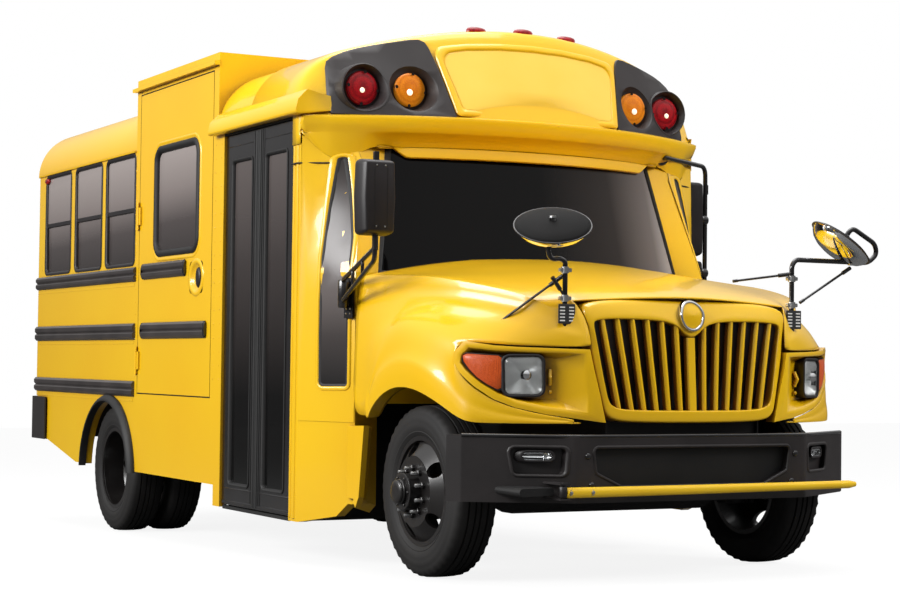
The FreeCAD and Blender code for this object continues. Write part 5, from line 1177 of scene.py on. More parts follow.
# %% Entrance leaves
SIDE = -1219
LEAF_FACE = SIDE + 14
LEAVES = (("front_door_leaf", 1132, 1598), ("rear_door_leaf", 1606, 2072))
PANE_LOW, PANE_HIGH, STILE = 328, 2112, 95
for body, y0, y1 in LEAVES:
    opening = box_outline((y0 + STILE, y1 - STILE), (PANE_LOW, PANE_HIGH), 20)
    pane_seal = bead(opening, ((-16, 2), (-15, -4), (-9, -6), (-3, -4), (3, 6), (5, 14)),
                     face_at("x", LEAF_FACE))
    piece(body + "_pane_seal", [pane_seal], black_rubber, body)
    inner_edge = y1 if body.startswith("front") else y0
    way = -1 if body.startswith("front") else 1
    ribs = []
    for step, radius, out in ((4, 6, 0), (20, 9, 1), (38, 5, 0), (62, 4, 0)):
        y = inner_edge + way * step
        ribs.append(tube([(LEAF_FACE - out, y, 214), (LEAF_FACE - out, y, 2256)], radius, 12))
    piece(body + "_meeting_seals", ribs, black_rubber, body, smooth=35)
    hem = [prism(rectangle((y0 + 6, y1 - 6), (214, 232)), "x", LEAF_FACE - 5, LEAF_FACE + 2),
           tube([(LEAF_FACE, y0 + 10, 300), (LEAF_FACE, y1 - 10, 300)], 4, 8),
           tube([(LEAF_FACE, y0 + 10, 2200), (LEAF_FACE, y1 - 10, 2200)], 3, 8)]
    piece(body + "_hem", hem, black_enamel, body, "black_paint", bevel=2, smooth=35)


# %% Frame and lip round the entrance
lip = [prism(rectangle((DOOR_POST + 8, 2080), (2267, 2279)), "x", SIDE + 2, SIDE + 40)]
piece("entrance_head_seal", lip, black_rubber, smooth=35)
EYEBROW = ((-1212, 2404), (-1238, 2378), (-1264, 2350), (-1276, 2292), (-1274, 2281), (-1264, 2277),
           (-1221, 2278))
flare = [[Vector((x, y, z)) for x, z in EYEBROW] for y in (2196, 1900, 1600, 1300, 1116, 1040, 964)]
for n in range(1, 9):
    share = n / 8
    flare.append([Vector((x, 964, z)).lerp(on_face(-1040, 2326 + (z - 2326) * 0.5, 1), share)
                  + Vector((0, 10 * math.sin(math.pi * share), 0)) for x, z in EYEBROW])
piece("entrance_eyebrow", [skin(flare, closed=False)], moulded_yellow, smooth=80, outward=(-1200, 1500, 2320))


# %% [markdown]
# The lift door is a big flush steel leaf. Its window sits in a moulded gasket within a shallow
# pressing, and the handle is an oval paddle in a dished pocket.


# %% Lift door window and handle
LIFT_WINDOW = box_outline((2490, 3190), (1660, 2280), 70)
on_side = face_at("x", SIDE)
gasket = bead(LIFT_WINDOW, ((-30, 1), (-28, -5), (-18, -11), (-4, -12), (6, -7), (12, 4), (14, 14)), on_side)
piece("lift_door_gasket", [gasket], black_rubber, "lift_door_body")
pressing = bead(LIFT_WINDOW, ((-56, 0.5), (-52, -4), (-44, -5), (-36, -1), (-30, 0.5)), on_side)
piece("lift_door_window_bead", [pressing], body_yellow, "lift_door_body")
POCKET = [Vector((2492 + 92 * c, 1488 + 82 * s)) for c, s in around(40)]
pocket = bead(POCKET, ((-30, 0.5), (-27, -4), (-4, -6), (4, 2), (14, 14), (40, 21), (70, 22)), on_side)
piece("lift_handle_dish", [pocket], body_yellow, "lift_door_body", smooth=60)
paddle = [placed([Vector((2470 + 34 * k * c, 1486 + 60 * k * s)) for c, s in around(28)], "x", SIDE + back)
          for k, back in ((1.0, 20), (1.0, 4), (0.9, -1), (0.5, -3), (0.03, -3.5))]
piece("lift_handle_paddle", [skin(paddle)], satin_black, "lift_door_body")
for n, (y, z) in enumerate((((2670, 3395), (1503, 1598)), ((2330, 3395), (1136, 1233)))):
    caps = []
    middle, half = (z[0] + z[1]) / 2, (z[1] - z[0]) / 2
    for end, way in ((y[0], -1), (y[1], 1)):
        ellipse = [Vector((SIDE - 10 + 11 * c, end, middle + half * s)) for c, s in around(20)]
        tip = [Vector((SIDE - 8 + (p.x - SIDE + 8) * 0.8, end + way * 16, middle + (p.z - middle) * 0.8))
               for p in ellipse]
        caps.append(skin([ellipse, tip], capped=True))
    piece(f"lift_rail_ends_{n}", caps, black_enamel, "lift_door_body", "black_paint")
seal = bead(rectangle((2247, 3494), (795, 2660)), ((-1, 6), (0, 2), (6, 2), (7, 6), (3, 12), (-1, 12)),
            on_side, wrapped=True)
piece("lift_doorway_seal", [seal], black_rubber, smooth=35)


# %% [markdown]
# Each passenger window has two sashes in a black aluminium frame: the upper one slides down
# behind the lower. The frame stands a little proud of the panel and has a rail across its middle.


# %% Passenger window frames
WINDOWS = ((3575, 4147), (4235, 4807), (4908, 5495))
PITCH = 672
SILL, WINDOW_TOP, DRIVER_SILL = 1603, 2298, 1443
sashes = []
left = [(w, SILL) for w in WINDOWS] + [((3575 - PITCH * n, 4147 - PITCH * n), SILL) for n in (1, 2, 3)]
left.append(((1250, 1520), DRIVER_SILL))
for side, table in ((1, [(w, SILL) for w in WINDOWS]), (-1, left)):
    for y, low in table:
        hole = box_outline(y, (low, WINDOW_TOP), 40)
        rail = (low + WINDOW_TOP) / 2
        made = [bead(hole, ((-10, 1), (-9, -4), (0, -5), (8, -3), (14, 2), (16, 14)), on_side),
                prism(rectangle((y[0] + 6, y[1] - 6), (rail - 13, rail + 13)), "x", SIDE + 5, SIDE + 22),
                prism(rectangle((y[0] + 12, y[0] + 44), (low + 12, WINDOW_TOP - 12)), "x", SIDE + 6,
                      SIDE + 20)]
        sashes += made if side == 1 else [flipped(part) for part in made]
piece("window_frames", sashes, satin_black, bevel=1.5)


# %% [markdown]
# Small work on the panels: the drip rail above the windows, the lap seams, and the rows of domed
# rivets that hold the posts. A rivet is a low dome 9 mm across.


# %% Rivets, drip rail and seams
rivets = []
RIVET_RADIUS = 4.5


def dome(x, y, z, way=-1):
    """low rivet head on a side panel"""
    return skin([[Vector((x + way * out, y + RIVET_RADIUS * share * c, z + RIVET_RADIUS * share * s))
                  for c, s in around(10)]
                 for share, out in ((1.0, -0.5), (1.0, 0.6), (0.75, 2.0), (0.4, 2.7), (0.05, 3.0))])


for z in range(900, 2290, 78):
    for y in (2118, 2205, 3540):
        rivets.append(dome(SIDE, y, z))
for y in range(3620, 5640, 84):
    for z in (1470, 1105, 745):
        rivets.append(dome(SIDE, y, z))
        rivets.append(dome(-SIDE, y, z, 1))
for y in range(1220, 3560, 84):
    for z in (1470, 1105, 745):
        rivets.append(dome(-SIDE, y, z, 1))
for y in (3562, 4191, 4858, 5560):
    for z in range(1640, 2290, 92):
        rivets.append(dome(SIDE, y, z))
        rivets.append(dome(-SIDE, y, z, 1))
piece("panel_rivets", rivets, body_yellow, smooth=60)
seams = []
for z in (1476, 1114, 752):
    seams.append(prism(rectangle((SIDE - 1.5, SIDE + 2), (z - 10, z + 8)), "y", 3562, 5655))
piece("side_seams", both(seams), body_yellow, smooth=35)
GUTTER = [Vector((SIDE + dx, z))
          for dx, z in ((2, 2306), (-13, 2309), (-15, 2318), (-10, 2320), (-8, 2314), (2, 2316))]
piece("drip_rails", [prism(GUTTER, "y", 3562, 5650), flipped(prism(GUTTER, "y", 1720, 5650))], body_yellow,
      smooth=35)


# %% [markdown]
# The corner between the door and the windshield is a moulded post with a tall narrow window. Its
# pane has a black border and sits in a raised yellow bead.


# %% Corner window and post
def post_plane(y, z, out=0.0):
    """outer face of the slanted corner post, found from its plan at this height"""
    t = max(0.0, (z - GLASS_LOW) / (2130 - GLASS_LOW))
    edge = Vector((-1062, 665)).lerp(Vector((-942, 884)), t)
    back = Vector((SIDE, 1020))
    share = (y - edge.y) / (back.y - edge.y)
    spot = edge.lerp(back, share)
    normal = Vector((edge.y - back.y, back.x - edge.x)).normalized()
    return Vector((spot.x + normal.x * out, y + normal.y * out, z))


CORNER_PANE = rounded([(712, 886, 16), (885, 884, 24), (887, 1137), (886, 1312), (888, 1540), (893, 1699),
                       (900, 1815), (914, 1995), (921, 2059, 12), (896, 2059, 10), (876, 2004), (836, 1895),
                       (790, 1768), (744, 1640), (720, 1530), (713, 1420), (712, 1137)])
POST_FACE = [Vector(p) for p in ((669, 706), (1018, 706), (1018, 2170), (1004, 2160), (984, 2118),
                                 (965, 2082),
                                 (929, 2046), (918, 2066), (900, 2082), (878, 2092), (850, 2040), (780, 1826),
                                 (669, 1462))]


def on_post(out):
    """placing function at a distance off the post's face"""
    return lambda y, z: post_plane(y, z, out)


# %% Corner post and window pieces
piece("corner_post_faces", both([sheet(POST_FACE, [CORNER_PANE], 60, on_post(3))]), moulded_yellow)
# Painted reflection: the corner pane is near black at its foot, lightest about two fifths of the way up, and
# darker again at its top.
corner_painted_reflection = glass_with_painted_reflection("corner_glass_painted_reflection", "Z", 0.9, 2.08,
                           ((0, "#0B0909"), (0.22, "#3A3433"), (0.4, "#625A58"), (0.72, "#4A4342"),
                            (1, "#2A2524")))
set_surface(corner_painted_reflection, Roughness=0.3)
piece("corner_window_panes", both([sheet(shrunk(CORNER_PANE, -2), [], 80, on_post(1.2))]), corner_painted_reflection,
      smooth=35)
trim = bead(CORNER_PANE, ((-22, 2), (-19, 8), (-10, 10), (-3, 8), (2, 1)), post_plane)
piece("corner_window_beads", both([trim]), moulded_yellow)
rubber = bead(CORNER_PANE, ((-3, 4), (0, 5), (10, 2.5), (12, 1)), post_plane)
piece("corner_window_seals", both([rubber]), black_rubber)
ridges = []
for y, radius in ((1052, 16), (1098, 10)):
    ridges.append(tube([(SIDE + radius * 0.45, y, 205), (SIDE + radius * 0.45, y, 2120)], radius, 16))
piece("corner_post_ridges", both(ridges), moulded_yellow, smooth=60)
seam_points = [(SIDE - 11, DOOR_POST, 2028), (SIDE - 11, 1080, 2028), (SIDE - 11, 1030, 2028),
               post_plane(1005, 2028, 5), post_plane(938, 2028, 5)]
piece("corner_post_seams", both([tube(seam_points, 4, 8)]), black_rubber, smooth=35)


# %% [markdown]
# The tyres are 225/70R19.5 road tyres. A tyre mould makes three kinds of detail: straight grooves
# round the tread, a serrated shoulder where short sipes run out to the edge, and fine rings on the
# sidewall. The tread is drawn as one section turned round the axle, with its shoulder points
# pulled in at every sipe.


# %% Tyres
CENTRES = {}
for side in ("left", "right"):
    low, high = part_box("tyre_front_" + side)
    CENTRES["front_" + side] = BODY_BACK @ ((low + high) / 2)
    low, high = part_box("tyres_rear_" + side)
    CENTRES["rear_" + side] = BODY_BACK @ ((low + high) / 2)
RIM_RADIUS = 247.65
DUAL_SPACING = 262
# across the tyre from its middle, radius, and how deep a sipe pulls the point in
TYRE_HALF = ((0, -1, 0), (9, -1, 0), (11, -11, 0), (17, -11, 0), (19, -1, 0), (44, -2, 0), (46, -12, 0),
             (53, -12, 0), (55, -2.5, 0), (76, -4, 4), (88, -7, 9), (97, -15, 9), (103, -26, 5),
             (106, -38, 1), (108, -52, 0), (109, -54, 0), (111.5, -74, 0), (110, -86, 0), (111, -90, 0),
             (108, -110, 0), (104, -122, 0), (105, -126, 0), (98, -138, 0), (92, -146, 0), (86, -152, 0),
             (80, -157, 0))
STEPS = 90


def tyre(centre):
    """one tyre about a centre, across X"""
    profile = [(-a, r, cut) for a, r, cut in TYRE_HALF[::-1]] + list(TYRE_HALF[1:])
    loops = []
    for n, (c, s) in enumerate(around(STEPS)):
        section = [(across, TYRE_RADIUS + drop - (cut if n % 2 else 0)) for across, drop, cut in profile]
        section.append((0, RIM_RADIUS - 6))
        loops.append([centre + Vector((across, radius * c, radius * s)) for across, radius in section])
    return skin(loops, wrapped=True)


for side in ("left", "right"):
    made = piece("front_tyre_" + side, [tyre(CENTRES["front_" + side])], tyre_rubber, "front_wheel_" + side,
                 smooth=30)
    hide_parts("tyre_front_" + side)
    apart = Vector((DUAL_SPACING / 2, 0, 0))
    middle = CENTRES["rear_" + side]
    made = piece("rear_tyres_" + side, [tyre(middle + apart), tyre(middle - apart)], tyre_rubber,
                 "rear_wheels_" + side, smooth=30)
    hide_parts("tyres_rear_" + side)


# %% [markdown]
# The front hub carries ten long studs with their nuts around the oil cap. The rims of the front
# and the outer rear wheels have a rolled edge.


# %% Wheel nuts, rim edges and hub caps
STUD_CIRCLE, STUD_FACE = 110, 1066


def wheel_ring(x, middle, radius, count, start=0.0):
    """points of a bolt circle at x, about a wheel's middle"""
    turns = [math.tau * (n + start) / count for n in range(count)]
    return [(x, middle.y + radius * math.cos(a), middle.z + radius * math.sin(a)) for a in turns]


NUT = ((-30, 20), (-8, 20), (-6, 18), (14, 17), (16, 14), (17, 9))
ROLLED_EDGE = ((84, 236), (89, 250), (93, 257), (90, 262), (82, 260), (80, 250))
for side, way in (("left", 1), ("right", -1)):
    centre = CENTRES["front_" + side]
    nuts, bright = [], []
    for at in wheel_ring(way * STUD_FACE, centre, STUD_CIRCLE, 10, 0.5):
        nuts.append(turned([(way * along, r) for along, r in NUT], at, "x", 6))
        bright.append(turned([(way * 10, 9), (way * 44, 9), (way * 47, 7), (way * 48, 1)], at, "x", 12))
    edge_ring = turned([(way * a, r) for a, r in ROLLED_EDGE], centre, "x", 72, capped=False)
    piece("front_wheel_nuts_" + side, nuts, wheel_black, "front_wheel_" + side, bevel=1.5, smooth=35)
    piece("front_wheel_studs_" + side, bright, zinc, "front_wheel_" + side, "rim_paint", smooth=35)
    cap_rings = [turned([(way * a, r) for a, r in ((1119, 84), (1122, 88), (1128, 88), (1130, 80), (1130, 57),
                                                 (1136, 60), (1142, 60), (1146, 56), (1158, 54), (1163, 46),
                                                 (1164, 20), (1163, 1))], (0, centre.y, centre.z), "x", 40)]
    for at in wheel_ring(way * 1130, centre, 70, 6):
        cap_rings.append(turned([(way * -2, 8), (way * 5, 8), (way * 7, 6), (way * 7, 1)], at, "x", 6))
    piece("front_hub_cap_" + side, cap_rings, wheel_black, "front_wheel_" + side, bevel=1, smooth=35)
    piece("front_rim_edge_" + side, [edge_ring], wheel_black, "front_wheel_" + side, thick=3, smooth=35)
    rear = CENTRES["rear_" + side]
    outer = rear.x + way * DUAL_SPACING / 2
    lugs = []
    for at in wheel_ring(outer - way * 62, rear, STUD_CIRCLE, 10, 0.5):
        lugs.append(turned([(way * -14, 20), (way * 20, 18), (way * 22, 12), (way * 40, 10), (way * 42, 2)],
                           at, "x", 6))
    rear_ring = turned([(way * a, r) for a, r in ROLLED_EDGE], (outer, rear.y, rear.z), "x", 72, capped=False)
    piece("rear_wheel_nuts_" + side, lugs, wheel_black, "rear_wheels_" + side, bevel=1.5, smooth=35)
    piece("rear_rim_edge_" + side, [rear_ring], wheel_black, "rear_wheels_" + side, thick=3, smooth=35)


# %% Rear arch rubbers
ARCH_Y, ARCH_Z, ARCH_RADIUS = 4022, 262, 478
ARCH_SECTION = ((0, -6), (0, 36), (14, 37), (26, 30), (38, 18), (46, 4), (44, -4), (30, -6))
arcs = []
for way in (-1, 1):
    at = Vector((way * 1219, ARCH_Y, ARCH_Z))
    loops = []
    for n in range(49):
        a = math.radians(4) + (math.pi - math.radians(8)) * n / 48
        out = Vector((0, math.cos(a), math.sin(a)))
        loops.append([at + out * (ARCH_RADIUS + up) + Vector((way * across, 0, 0))
                      for across, up in ARCH_SECTION])
    arcs.append(skin(loops, capped=True))
rubber_arches = piece("rear_arch_rubbers", arcs, black_rubber)
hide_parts("arch_flares")


# %% [markdown]
# The front bumper is a deep steel channel with swept ends. Its top edge is rolled, so it catches
# the light; the air slot and the two lamp pockets have a raised lip round their edges. Four
# dark bolts hold it, and a black actuator housing beside the gate's pivot swings the gate.


# %% Bumper lips, ledge and bolts
BUMPER_FACE, BEND = -752, 640
SWEEP = Vector((440, 272, 0)).normalized()
SWEEP_OUT = Vector((SWEEP.y, -SWEEP.x, 0))


def on_bumper(x, z, out=0.0):
    """point on the bumper's face, flat in the middle and swept at its ends"""
    if abs(x) <= BEND:
        return Vector((x, BUMPER_FACE - out, z))
    y = BUMPER_FACE + (abs(x) - BEND) * SWEEP.y / SWEEP.x
    return Vector((x + math.copysign(SWEEP_OUT.x * out, x), y + SWEEP_OUT.y * out, z))


SLOT = rounded([(-400, 462, 20), (400, 462, 20), (535, 524, 20), (550, 636, 20), (-550, 636, 20),
                (-535, 524, 20)], 4)
FOG_POCKET = rounded([(680, 513, 22), (880, 513, 22), (900, 637, 22), (672, 637, 22)], 4)
LIP = ((-11, 0), (-9, 3), (-4, 5), (1, 4), (5, -4))
lips = [bead(SLOT, LIP, on_bumper)] + both([bead(FOG_POCKET, LIP, on_bumper)])
piece("bumper_opening_lips", lips, powder_black, smooth=60)
EDGE = [on_bumper(x, 688, -6) for x in (-1075, -900, -700, -620, -300, 0, 300, 620, 700, 900, 1075)]
piece("bumper_rolled_edge", [tube(EDGE, 9, 14)], black_enamel, "bus_body", "bumper_black", smooth=70)
heads = []
for x, z in ((582, 600), (560, 470)):
    heads.append(turned([(2, 15), (-2, 15), (-7, 12), (-9, 6), (-9.5, 1)], (x, BUMPER_FACE, z), "y", 20))
piece("bumper_bolts", both(heads), black_enamel, "bus_body", "bumper_black")
piece("bumper_slot_shade", [sheet(shrunk(SLOT, 2), [], 120, lambda x, z: Vector((x, BUMPER_FACE + 43, z)))],
      black_rubber, "bus_body", "black_plastic", smooth=35)


# %% Fog lamps in their pockets
FOG = box_outline((716, 846), (574, 622), 23)
fog_bezel = bead(FOG, ((-3, -44), (-3, -12), (0, -8), (5, -8), (8, -14), (9, -30)), on_bumper)
fog_bowl = bead(FOG, ((8, -15), (12, -26), (20, -33), (23.5, -35)), on_bumper)
fog_bulb = turned([(0, 15), (4, 14), (16, 10), (20, 2)], on_bumper(734, 600, -30), "y", 20)
fog_lens = bead(FOG, ((7, -14), (10, -9), (16, -6), (23, -5)), on_bumper)
piece("fog_lamp_bezels", both([fog_bezel]), satin_black)
piece("fog_lamp_bowls", both([fog_bowl, fog_bulb]), chrome, smooth=60)
piece("fog_lamp_lenses", both([fog_lens]), clear_cover, smooth=60)


# %% [markdown]
# The crossing gate is a yellow glass-fibre tube of flattened section that swings ahead of the
# bumper when the bus stops. Two bright bolts hold it in the pivot's socket. It bows up a little
# towards its free end.


# %% Crossing gate
gate_low, gate_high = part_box("crossing_gate")
corner_low, corner_high = BODY_BACK @ gate_low, BODY_BACK @ gate_high
GATE_AXIS_Y = (corner_low.y + corner_high.y) / 2
PIVOT_X, GATE_END, GATE_Z = corner_low.x + 19, corner_high.x, 447
ring_loops = []
for n in range(41):
    share = n / 40
    x = PIVOT_X + 14 + (GATE_END - 4 - PIVOT_X - 14) * share
    height, depth = 24 - 5 * share, 15.5
    rise = 9 * share ** 2 - 4
    close = 1 if n < 40 else 0.6
    loop = []
    for c, s in around(24):
        groove = 1 - 0.1 * math.exp(-((abs(s) - 0.62) / 0.14) ** 2) * (c < 0)
        loop.append(Vector((x, GATE_AXIS_Y + depth * close * groove * math.copysign(abs(c) ** 0.8, c),
                            GATE_Z + rise + height * close * groove * math.copysign(abs(s) ** 0.8, s))))
    ring_loops.append(loop)
boss = turned([(-24, 8.2), (-24, 17), (-22, 18.5), (22, 18.5), (24, 17), (24, 8.2)],
              (PIVOT_X, GATE_AXIS_Y, GATE_Z), "z", 28, capped=False)
arm = piece("gate_tube", [skin(ring_loops, capped=True)], gate_yellow, "gate_arm", smooth=60)
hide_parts("crossing_gate")
piece("gate_boss", [boss], satin_black, "gate_arm")
screws = []
for x in (PIVOT_X + 34, PIVOT_X + 148):
    screws.append(turned([(0, 13), (-2.5, 13), (-3, 9), (-3, 8.5), (-7, 8), (-8, 5), (-8, 1)],
                         (x, GATE_AXIS_Y - 11.5, GATE_Z - 4), "y", 18))
piece("gate_bolts", screws, zinc, "gate_arm")
housing = [prism(rounded([(-952, GATE_Z - 20, 18), (PIVOT_X - 30, GATE_Z - 17, 8),
                          (PIVOT_X - 30, GATE_Z + 17, 8), (-952, GATE_Z + 16, 18)]), "y", -782, -560)]
piece("gate_actuator", housing, black_rubber, "bus_body", "black_plastic", bevel=3)


# %% [markdown]
# Every school bus carries two kinds of mirror. Flat ones beside the windshield show the sides;
# their backs are deep moulded shells with two parting lines and four screws. Convex ones on
# curved tubes at the hood's corners show the ground in front of the bumper.


# %% Flat side mirrors
def mirror_head(x, y, z, bow=7, front=16):
    """shell of a flat mirror, open at the back for its glass"""
    half = (z[1] - z[0]) / 2
    outline = rounded([(x[0] + bow, z[0], 26), (x[1] - bow, z[0], 26), (x[1], z[0] + half),
                       (x[1] - bow, z[1], 26), (x[0] + bow, z[1], 26), (x[0], z[0] + half)], 6)
    depth = y[1] - y[0]
    return skin([placed(shrunk(outline, inwards), "y", y[0] + at * depth) for inwards, at in
                 ((24, 0.0), (front + 2, 0.02), (front - 4, 0.08), (6, 0.3), (2, 0.6), (0, 0.84), (3, 0.98),
                  (6, 1.0), (9, 0.97), (9, 0.92))], capped=True), placed(shrunk(outline, 9), "y", y[1] - 7)


# %% Heads, parting lines and screws
CURB_X, CURB_Y, CURB_Z = (-1299, -1111), (116, 222), (1611, 1976)
middle_x, middle_y = (CURB_X[0] + CURB_X[1]) / 2, (CURB_Y[0] + CURB_Y[1]) / 2
shells, glasses, arms, bright, lines = [], [], [], [], []
HEADS = (mirror_head(CURB_X, CURB_Y, CURB_Z), mirror_head((1206, 1330), (1026, 1098), (1640, 2070), 4),
         mirror_head((1210, 1326), (1030, 1094), (1470, 1618), 4, 12))
for shell, glass in HEADS:
    shells.append(shell)
    glasses.append(slab(glass, (0, 3, 0)))
for x in (-1236, -1168):
    lines.append(prism([Vector(p) for p in ((x - 1.2, CURB_Z[0] + 30), (x + 1.2, CURB_Z[0] + 44),
                                            (x + 1.2, CURB_Z[1] - 44),
                                            (x - 1.2, CURB_Z[1] - 44))], "y", CURB_Y[0] - 1.2, CURB_Y[0] + 4))
for x in (-1226, -1180):
    for z in (CURB_Z[0] + 40, CURB_Z[1] - 34):
        bright.append(turned([(3, 4), (-1, 4), (-3, 3), (-3.6, 1)], (x, CURB_Y[0], z), "y", 12))
arms.append(block((middle_x - 13, middle_x + 13), (middle_y - 8, middle_y + 8),
                  (CURB_Z[1] - 12, CURB_Z[1] + 36)))


# %% Arms on the entrance side
foot = post_plane(706, 1330, 46)
stub = [(middle_x, middle_y, CURB_Z[0] + 20), (middle_x, middle_y, CURB_Z[0] - 70)]
arms.append(tube(stub, 15, 16))
upper = bent([(middle_x, middle_y, CURB_Z[0] - 20), (middle_x, middle_y + 6, CURB_Z[0] - 60),
              (foot.x - 16, foot.y - 30, 1420), (foot.x, foot.y, 1400)], 60)
lower = bent([(middle_x, middle_y, CURB_Z[0] - 60), (middle_x, middle_y + 4, CURB_Z[0] - 118),
              (foot.x - 16, foot.y - 30, 1318), (foot.x, foot.y, 1296)], 60)
arms += [tube(upper, 12, 14), tube(lower, 12, 14)]
for share in (0.36, 0.7):
    a, b = upper[6].lerp(upper[-7], share), lower[6].lerp(lower[-7], share)
    arms.append(tube([a, b], 9, 10))
arms.append(turned([(-70, 16), (-70, 26), (-60, 30), (60, 30), (70, 26), (70, 16)], (foot.x, foot.y, 1348),
                   "z", 24))
arms.append(slab([post_plane(y, z, 4) for y, z in ((672, 1228), (724, 1228), (724, 1430), (672, 1430))],
                 post_plane(700, 1300, 16) - post_plane(700, 1300)))
arms.append(slab([post_plane(y, z, 6) for y, z in ((690, 1300), (716, 1300), (716, 1400), (690, 1400))],
                 post_plane(700, 1300, 44) - post_plane(700, 1300)))
for y in (686, 710):
    for z in (1250, 1274):
        bright.append(turned([(2, 5), (-2, 5), (-3, 1)], tuple(post_plane(y, z, 20)), "y", 10))


# %% Arm on the driver's side
# driver's side: the tube is a loop, and the heads hang inside it
LOOP_X, LOOP_Y = 1352, 1060
root_y = NOSE_CENTRE - math.sqrt((NOSE_RADIUS - 20) ** 2 - 900 ** 2)
loop = bent([(900, root_y, 2165), (905, root_y - 40, 2165), (LOOP_X, LOOP_Y, 2160), (LOOP_X, LOOP_Y, 1420),
             (1240, 1000, 1400), (1075, 800, 1392)], 60, 8)
arms.append(tube(loop, 13, 14))
for z in (1850, 1545):
    arms.append(turned([(-22, 12), (-20, 24), (-8, 30), (8, 30), (20, 24), (22, 12)],
                       (LOOP_X - 10, LOOP_Y, z), "x", 20))
    arms.append(tube([(LOOP_X, LOOP_Y, z), (1290, 1062, z)], 10, 10))
arms.append(block((LOOP_X - 2, LOOP_X + 18), (LOOP_Y - 6, LOOP_Y + 6), (2000, 2056)))
arms.append(turned([(-3, 12), (-3, 40), (3, 42), (3, 12)], (900, root_y - 6, 2165), "y", 24))
heads = piece("side_mirror_shells", shells, satin_black)
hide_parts("side_mirrors")
piece("side_mirror_glass", glasses, mirror_silver, smooth=35)
piece("side_mirror_arms", arms, black_enamel, bevel=1.5)
piece("side_mirror_lines", lines, black_rubber, "bus_body", "black_plastic", smooth=35)
piece("side_mirror_screws", bright, zinc, smooth=35)


# %% [markdown]
# A crossview mirror is a convex dome of silvered acrylic in a shallow black shell. It looks back,
# down and inwards. Its tube runs from a post on the hood, held by clamps, a thin brace and a long
# stay to the fender.


# %% Crossview mirrors
POST_X, POST_Y = 643, -640
# (radius, along the normal)
DISH_SHELL = ((2, -27), (24, -27), (60, -24), (110, -16), (150, -6), (164, 2), (166, 6))
DISH_RIM = ((164, 3), (169, 3), (170, 8), (166, 10), (160, 7))
DISH_DOME = ((162, 6), (154, 24), (136, 44), (108, 60), (74, 71), (38, 77), (2, 79))
DISH_NORMALS = {-1: Vector((0.27, 0.46, -0.84)).normalized(), 1: Vector((-0.56, 0.226, -0.797)).normalized()}


def dish(centre, normal):
    """shell, rim and dome of one convex mirror, as three parts"""
    across = Vector((0, 0, 1)).cross(normal).normalized()
    up = normal.cross(across).normalized()
    return [skin([[centre + across * radius * 1.06 * c + up * radius * s + normal * along
                   for c, s in around(48)] for radius, along in section])
            for section in (DISH_SHELL, DISH_RIM, DISH_DOME)]


def stay(a, b, sleeve=0.8):
    """thin rod with a thicker sleeve at its far end"""
    a, b = Vector(a), Vector(b)
    return [tube([a, b], 6, 10), tube([a.lerp(b, sleeve), b], 10, 12), tube([a, a.lerp(b, 0.08)], 8, 10)]


# %% Crossview parts on each side
shells, rims, domes, tubes, clamps, plates, slots = [], [], [], [], [], [], []
for side, centre in ((-1, Vector((-700, -622, 1642))), (1, Vector((958, -628, 1627)))):
    normal = DISH_NORMALS[side]
    shell, rim_part, dome_part = dish(centre, normal)
    shells.append(shell)
    rims.append(rim_part)
    domes.append(dome_part)
    back = centre - normal * 30
    post = Vector((side * POST_X, POST_Y, 0))
    if side < 0:
        rise = ((0, 0, 1180), (0, 0, 1474), (-26, 0, 1487), (-80, 0, 1482), (-98, -4, 1543))
        ends = [(centre.x + 12, -652, 1600), back]
    else:
        rise = ((0, 0, 1180), (0, 0, 1500), (24, 0, 1529), (470, -6, 1529), (520, -10, 1575),
                (505, -12, 1625))
        ends = [back - normal * 60, back]
    route = [post + Vector(p) for p in rise] + ends
    tubes.append(tube(bent(route, 34, 6), 12, 14))
    for z in (1308, 1436):
        clamps.append(turned([(-15, 12.5), (-15, 18), (15, 18), (15, 12.5)], (post.x, post.y, z), "z", 16))
        clamps.append(block((post.x - 30, post.x + 30), (post.y - 9, post.y + 9), (z - 9, z + 9), 5))
    fender_end = Vector((side * 880, -440, 1190)) if side < 0 else Vector((352, -560, 1418))
    tubes += stay(fender_end, post + Vector((side * 12 if side < 0 else -12, 0, 1410 if side < 0 else 1458)))
    if side > 0:
        tubes += stay(post + Vector((50, 0, 1322)), post + Vector((355, -6, 1500)), 0.85)
        clamps.append(turned([(-13, 12.5), (-13, 17), (13, 17), (13, 12.5)],
                             (post.x + 360, post.y - 5, 1529), "x", 16))
    else:
        tubes += stay(post + Vector((0, -4, 1310)), post + Vector((-72, -6, 1402)), 0.4)
    grips = back - normal * 8
    clamps.append(turned([(-6, 10), (-5, 17), (5, 17), (6, 10)], tuple(grips), "z", 12))
    plates.append(prism(rounded([(post.x - 44, 1193, 4), (post.x + 44, 1193, 4), (post.x + 44, 1282, 4),
                                 (post.x - 44, 1282, 4)]), "y", post.y - 19, post.y - 14))
    for column in (-24, 24):
        for row_at in range(5):
            z = 1204 + row_at * 15
            slots.append(block((post.x + column - 13, post.x + column + 13), (post.y - 21, post.y - 18),
                               (z, z + 6), 2))


# %% Crossview pieces
made = piece("crossview_shells", shells, shell_black, "hood_assembly", smooth=60)
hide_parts("crossview_mirrors")
piece("crossview_rims", rims, satin_black, "hood_assembly", smooth=60)
piece("crossview_domes", domes, mirror_silver, "hood_assembly", smooth=80)
piece("crossview_tubes", tubes, black_enamel, "hood_assembly", smooth=60)
piece("crossview_clamps", clamps, zinc, "hood_assembly")
piece("crossview_plate_slots", slots, white_enamel, "hood_assembly", smooth=35)
piece("crossview_plates", plates, dash_grey, "hood_assembly", bevel=1.5, smooth=35)


# %% [markdown]
# The hood's badge stays blank: a plain domed oval with a bright rim, a shape that any maker could
# have used.


# %% Blank badge
BADGE_Z, BADGE_WIDE, BADGE_TALL = 1242, 68, 74


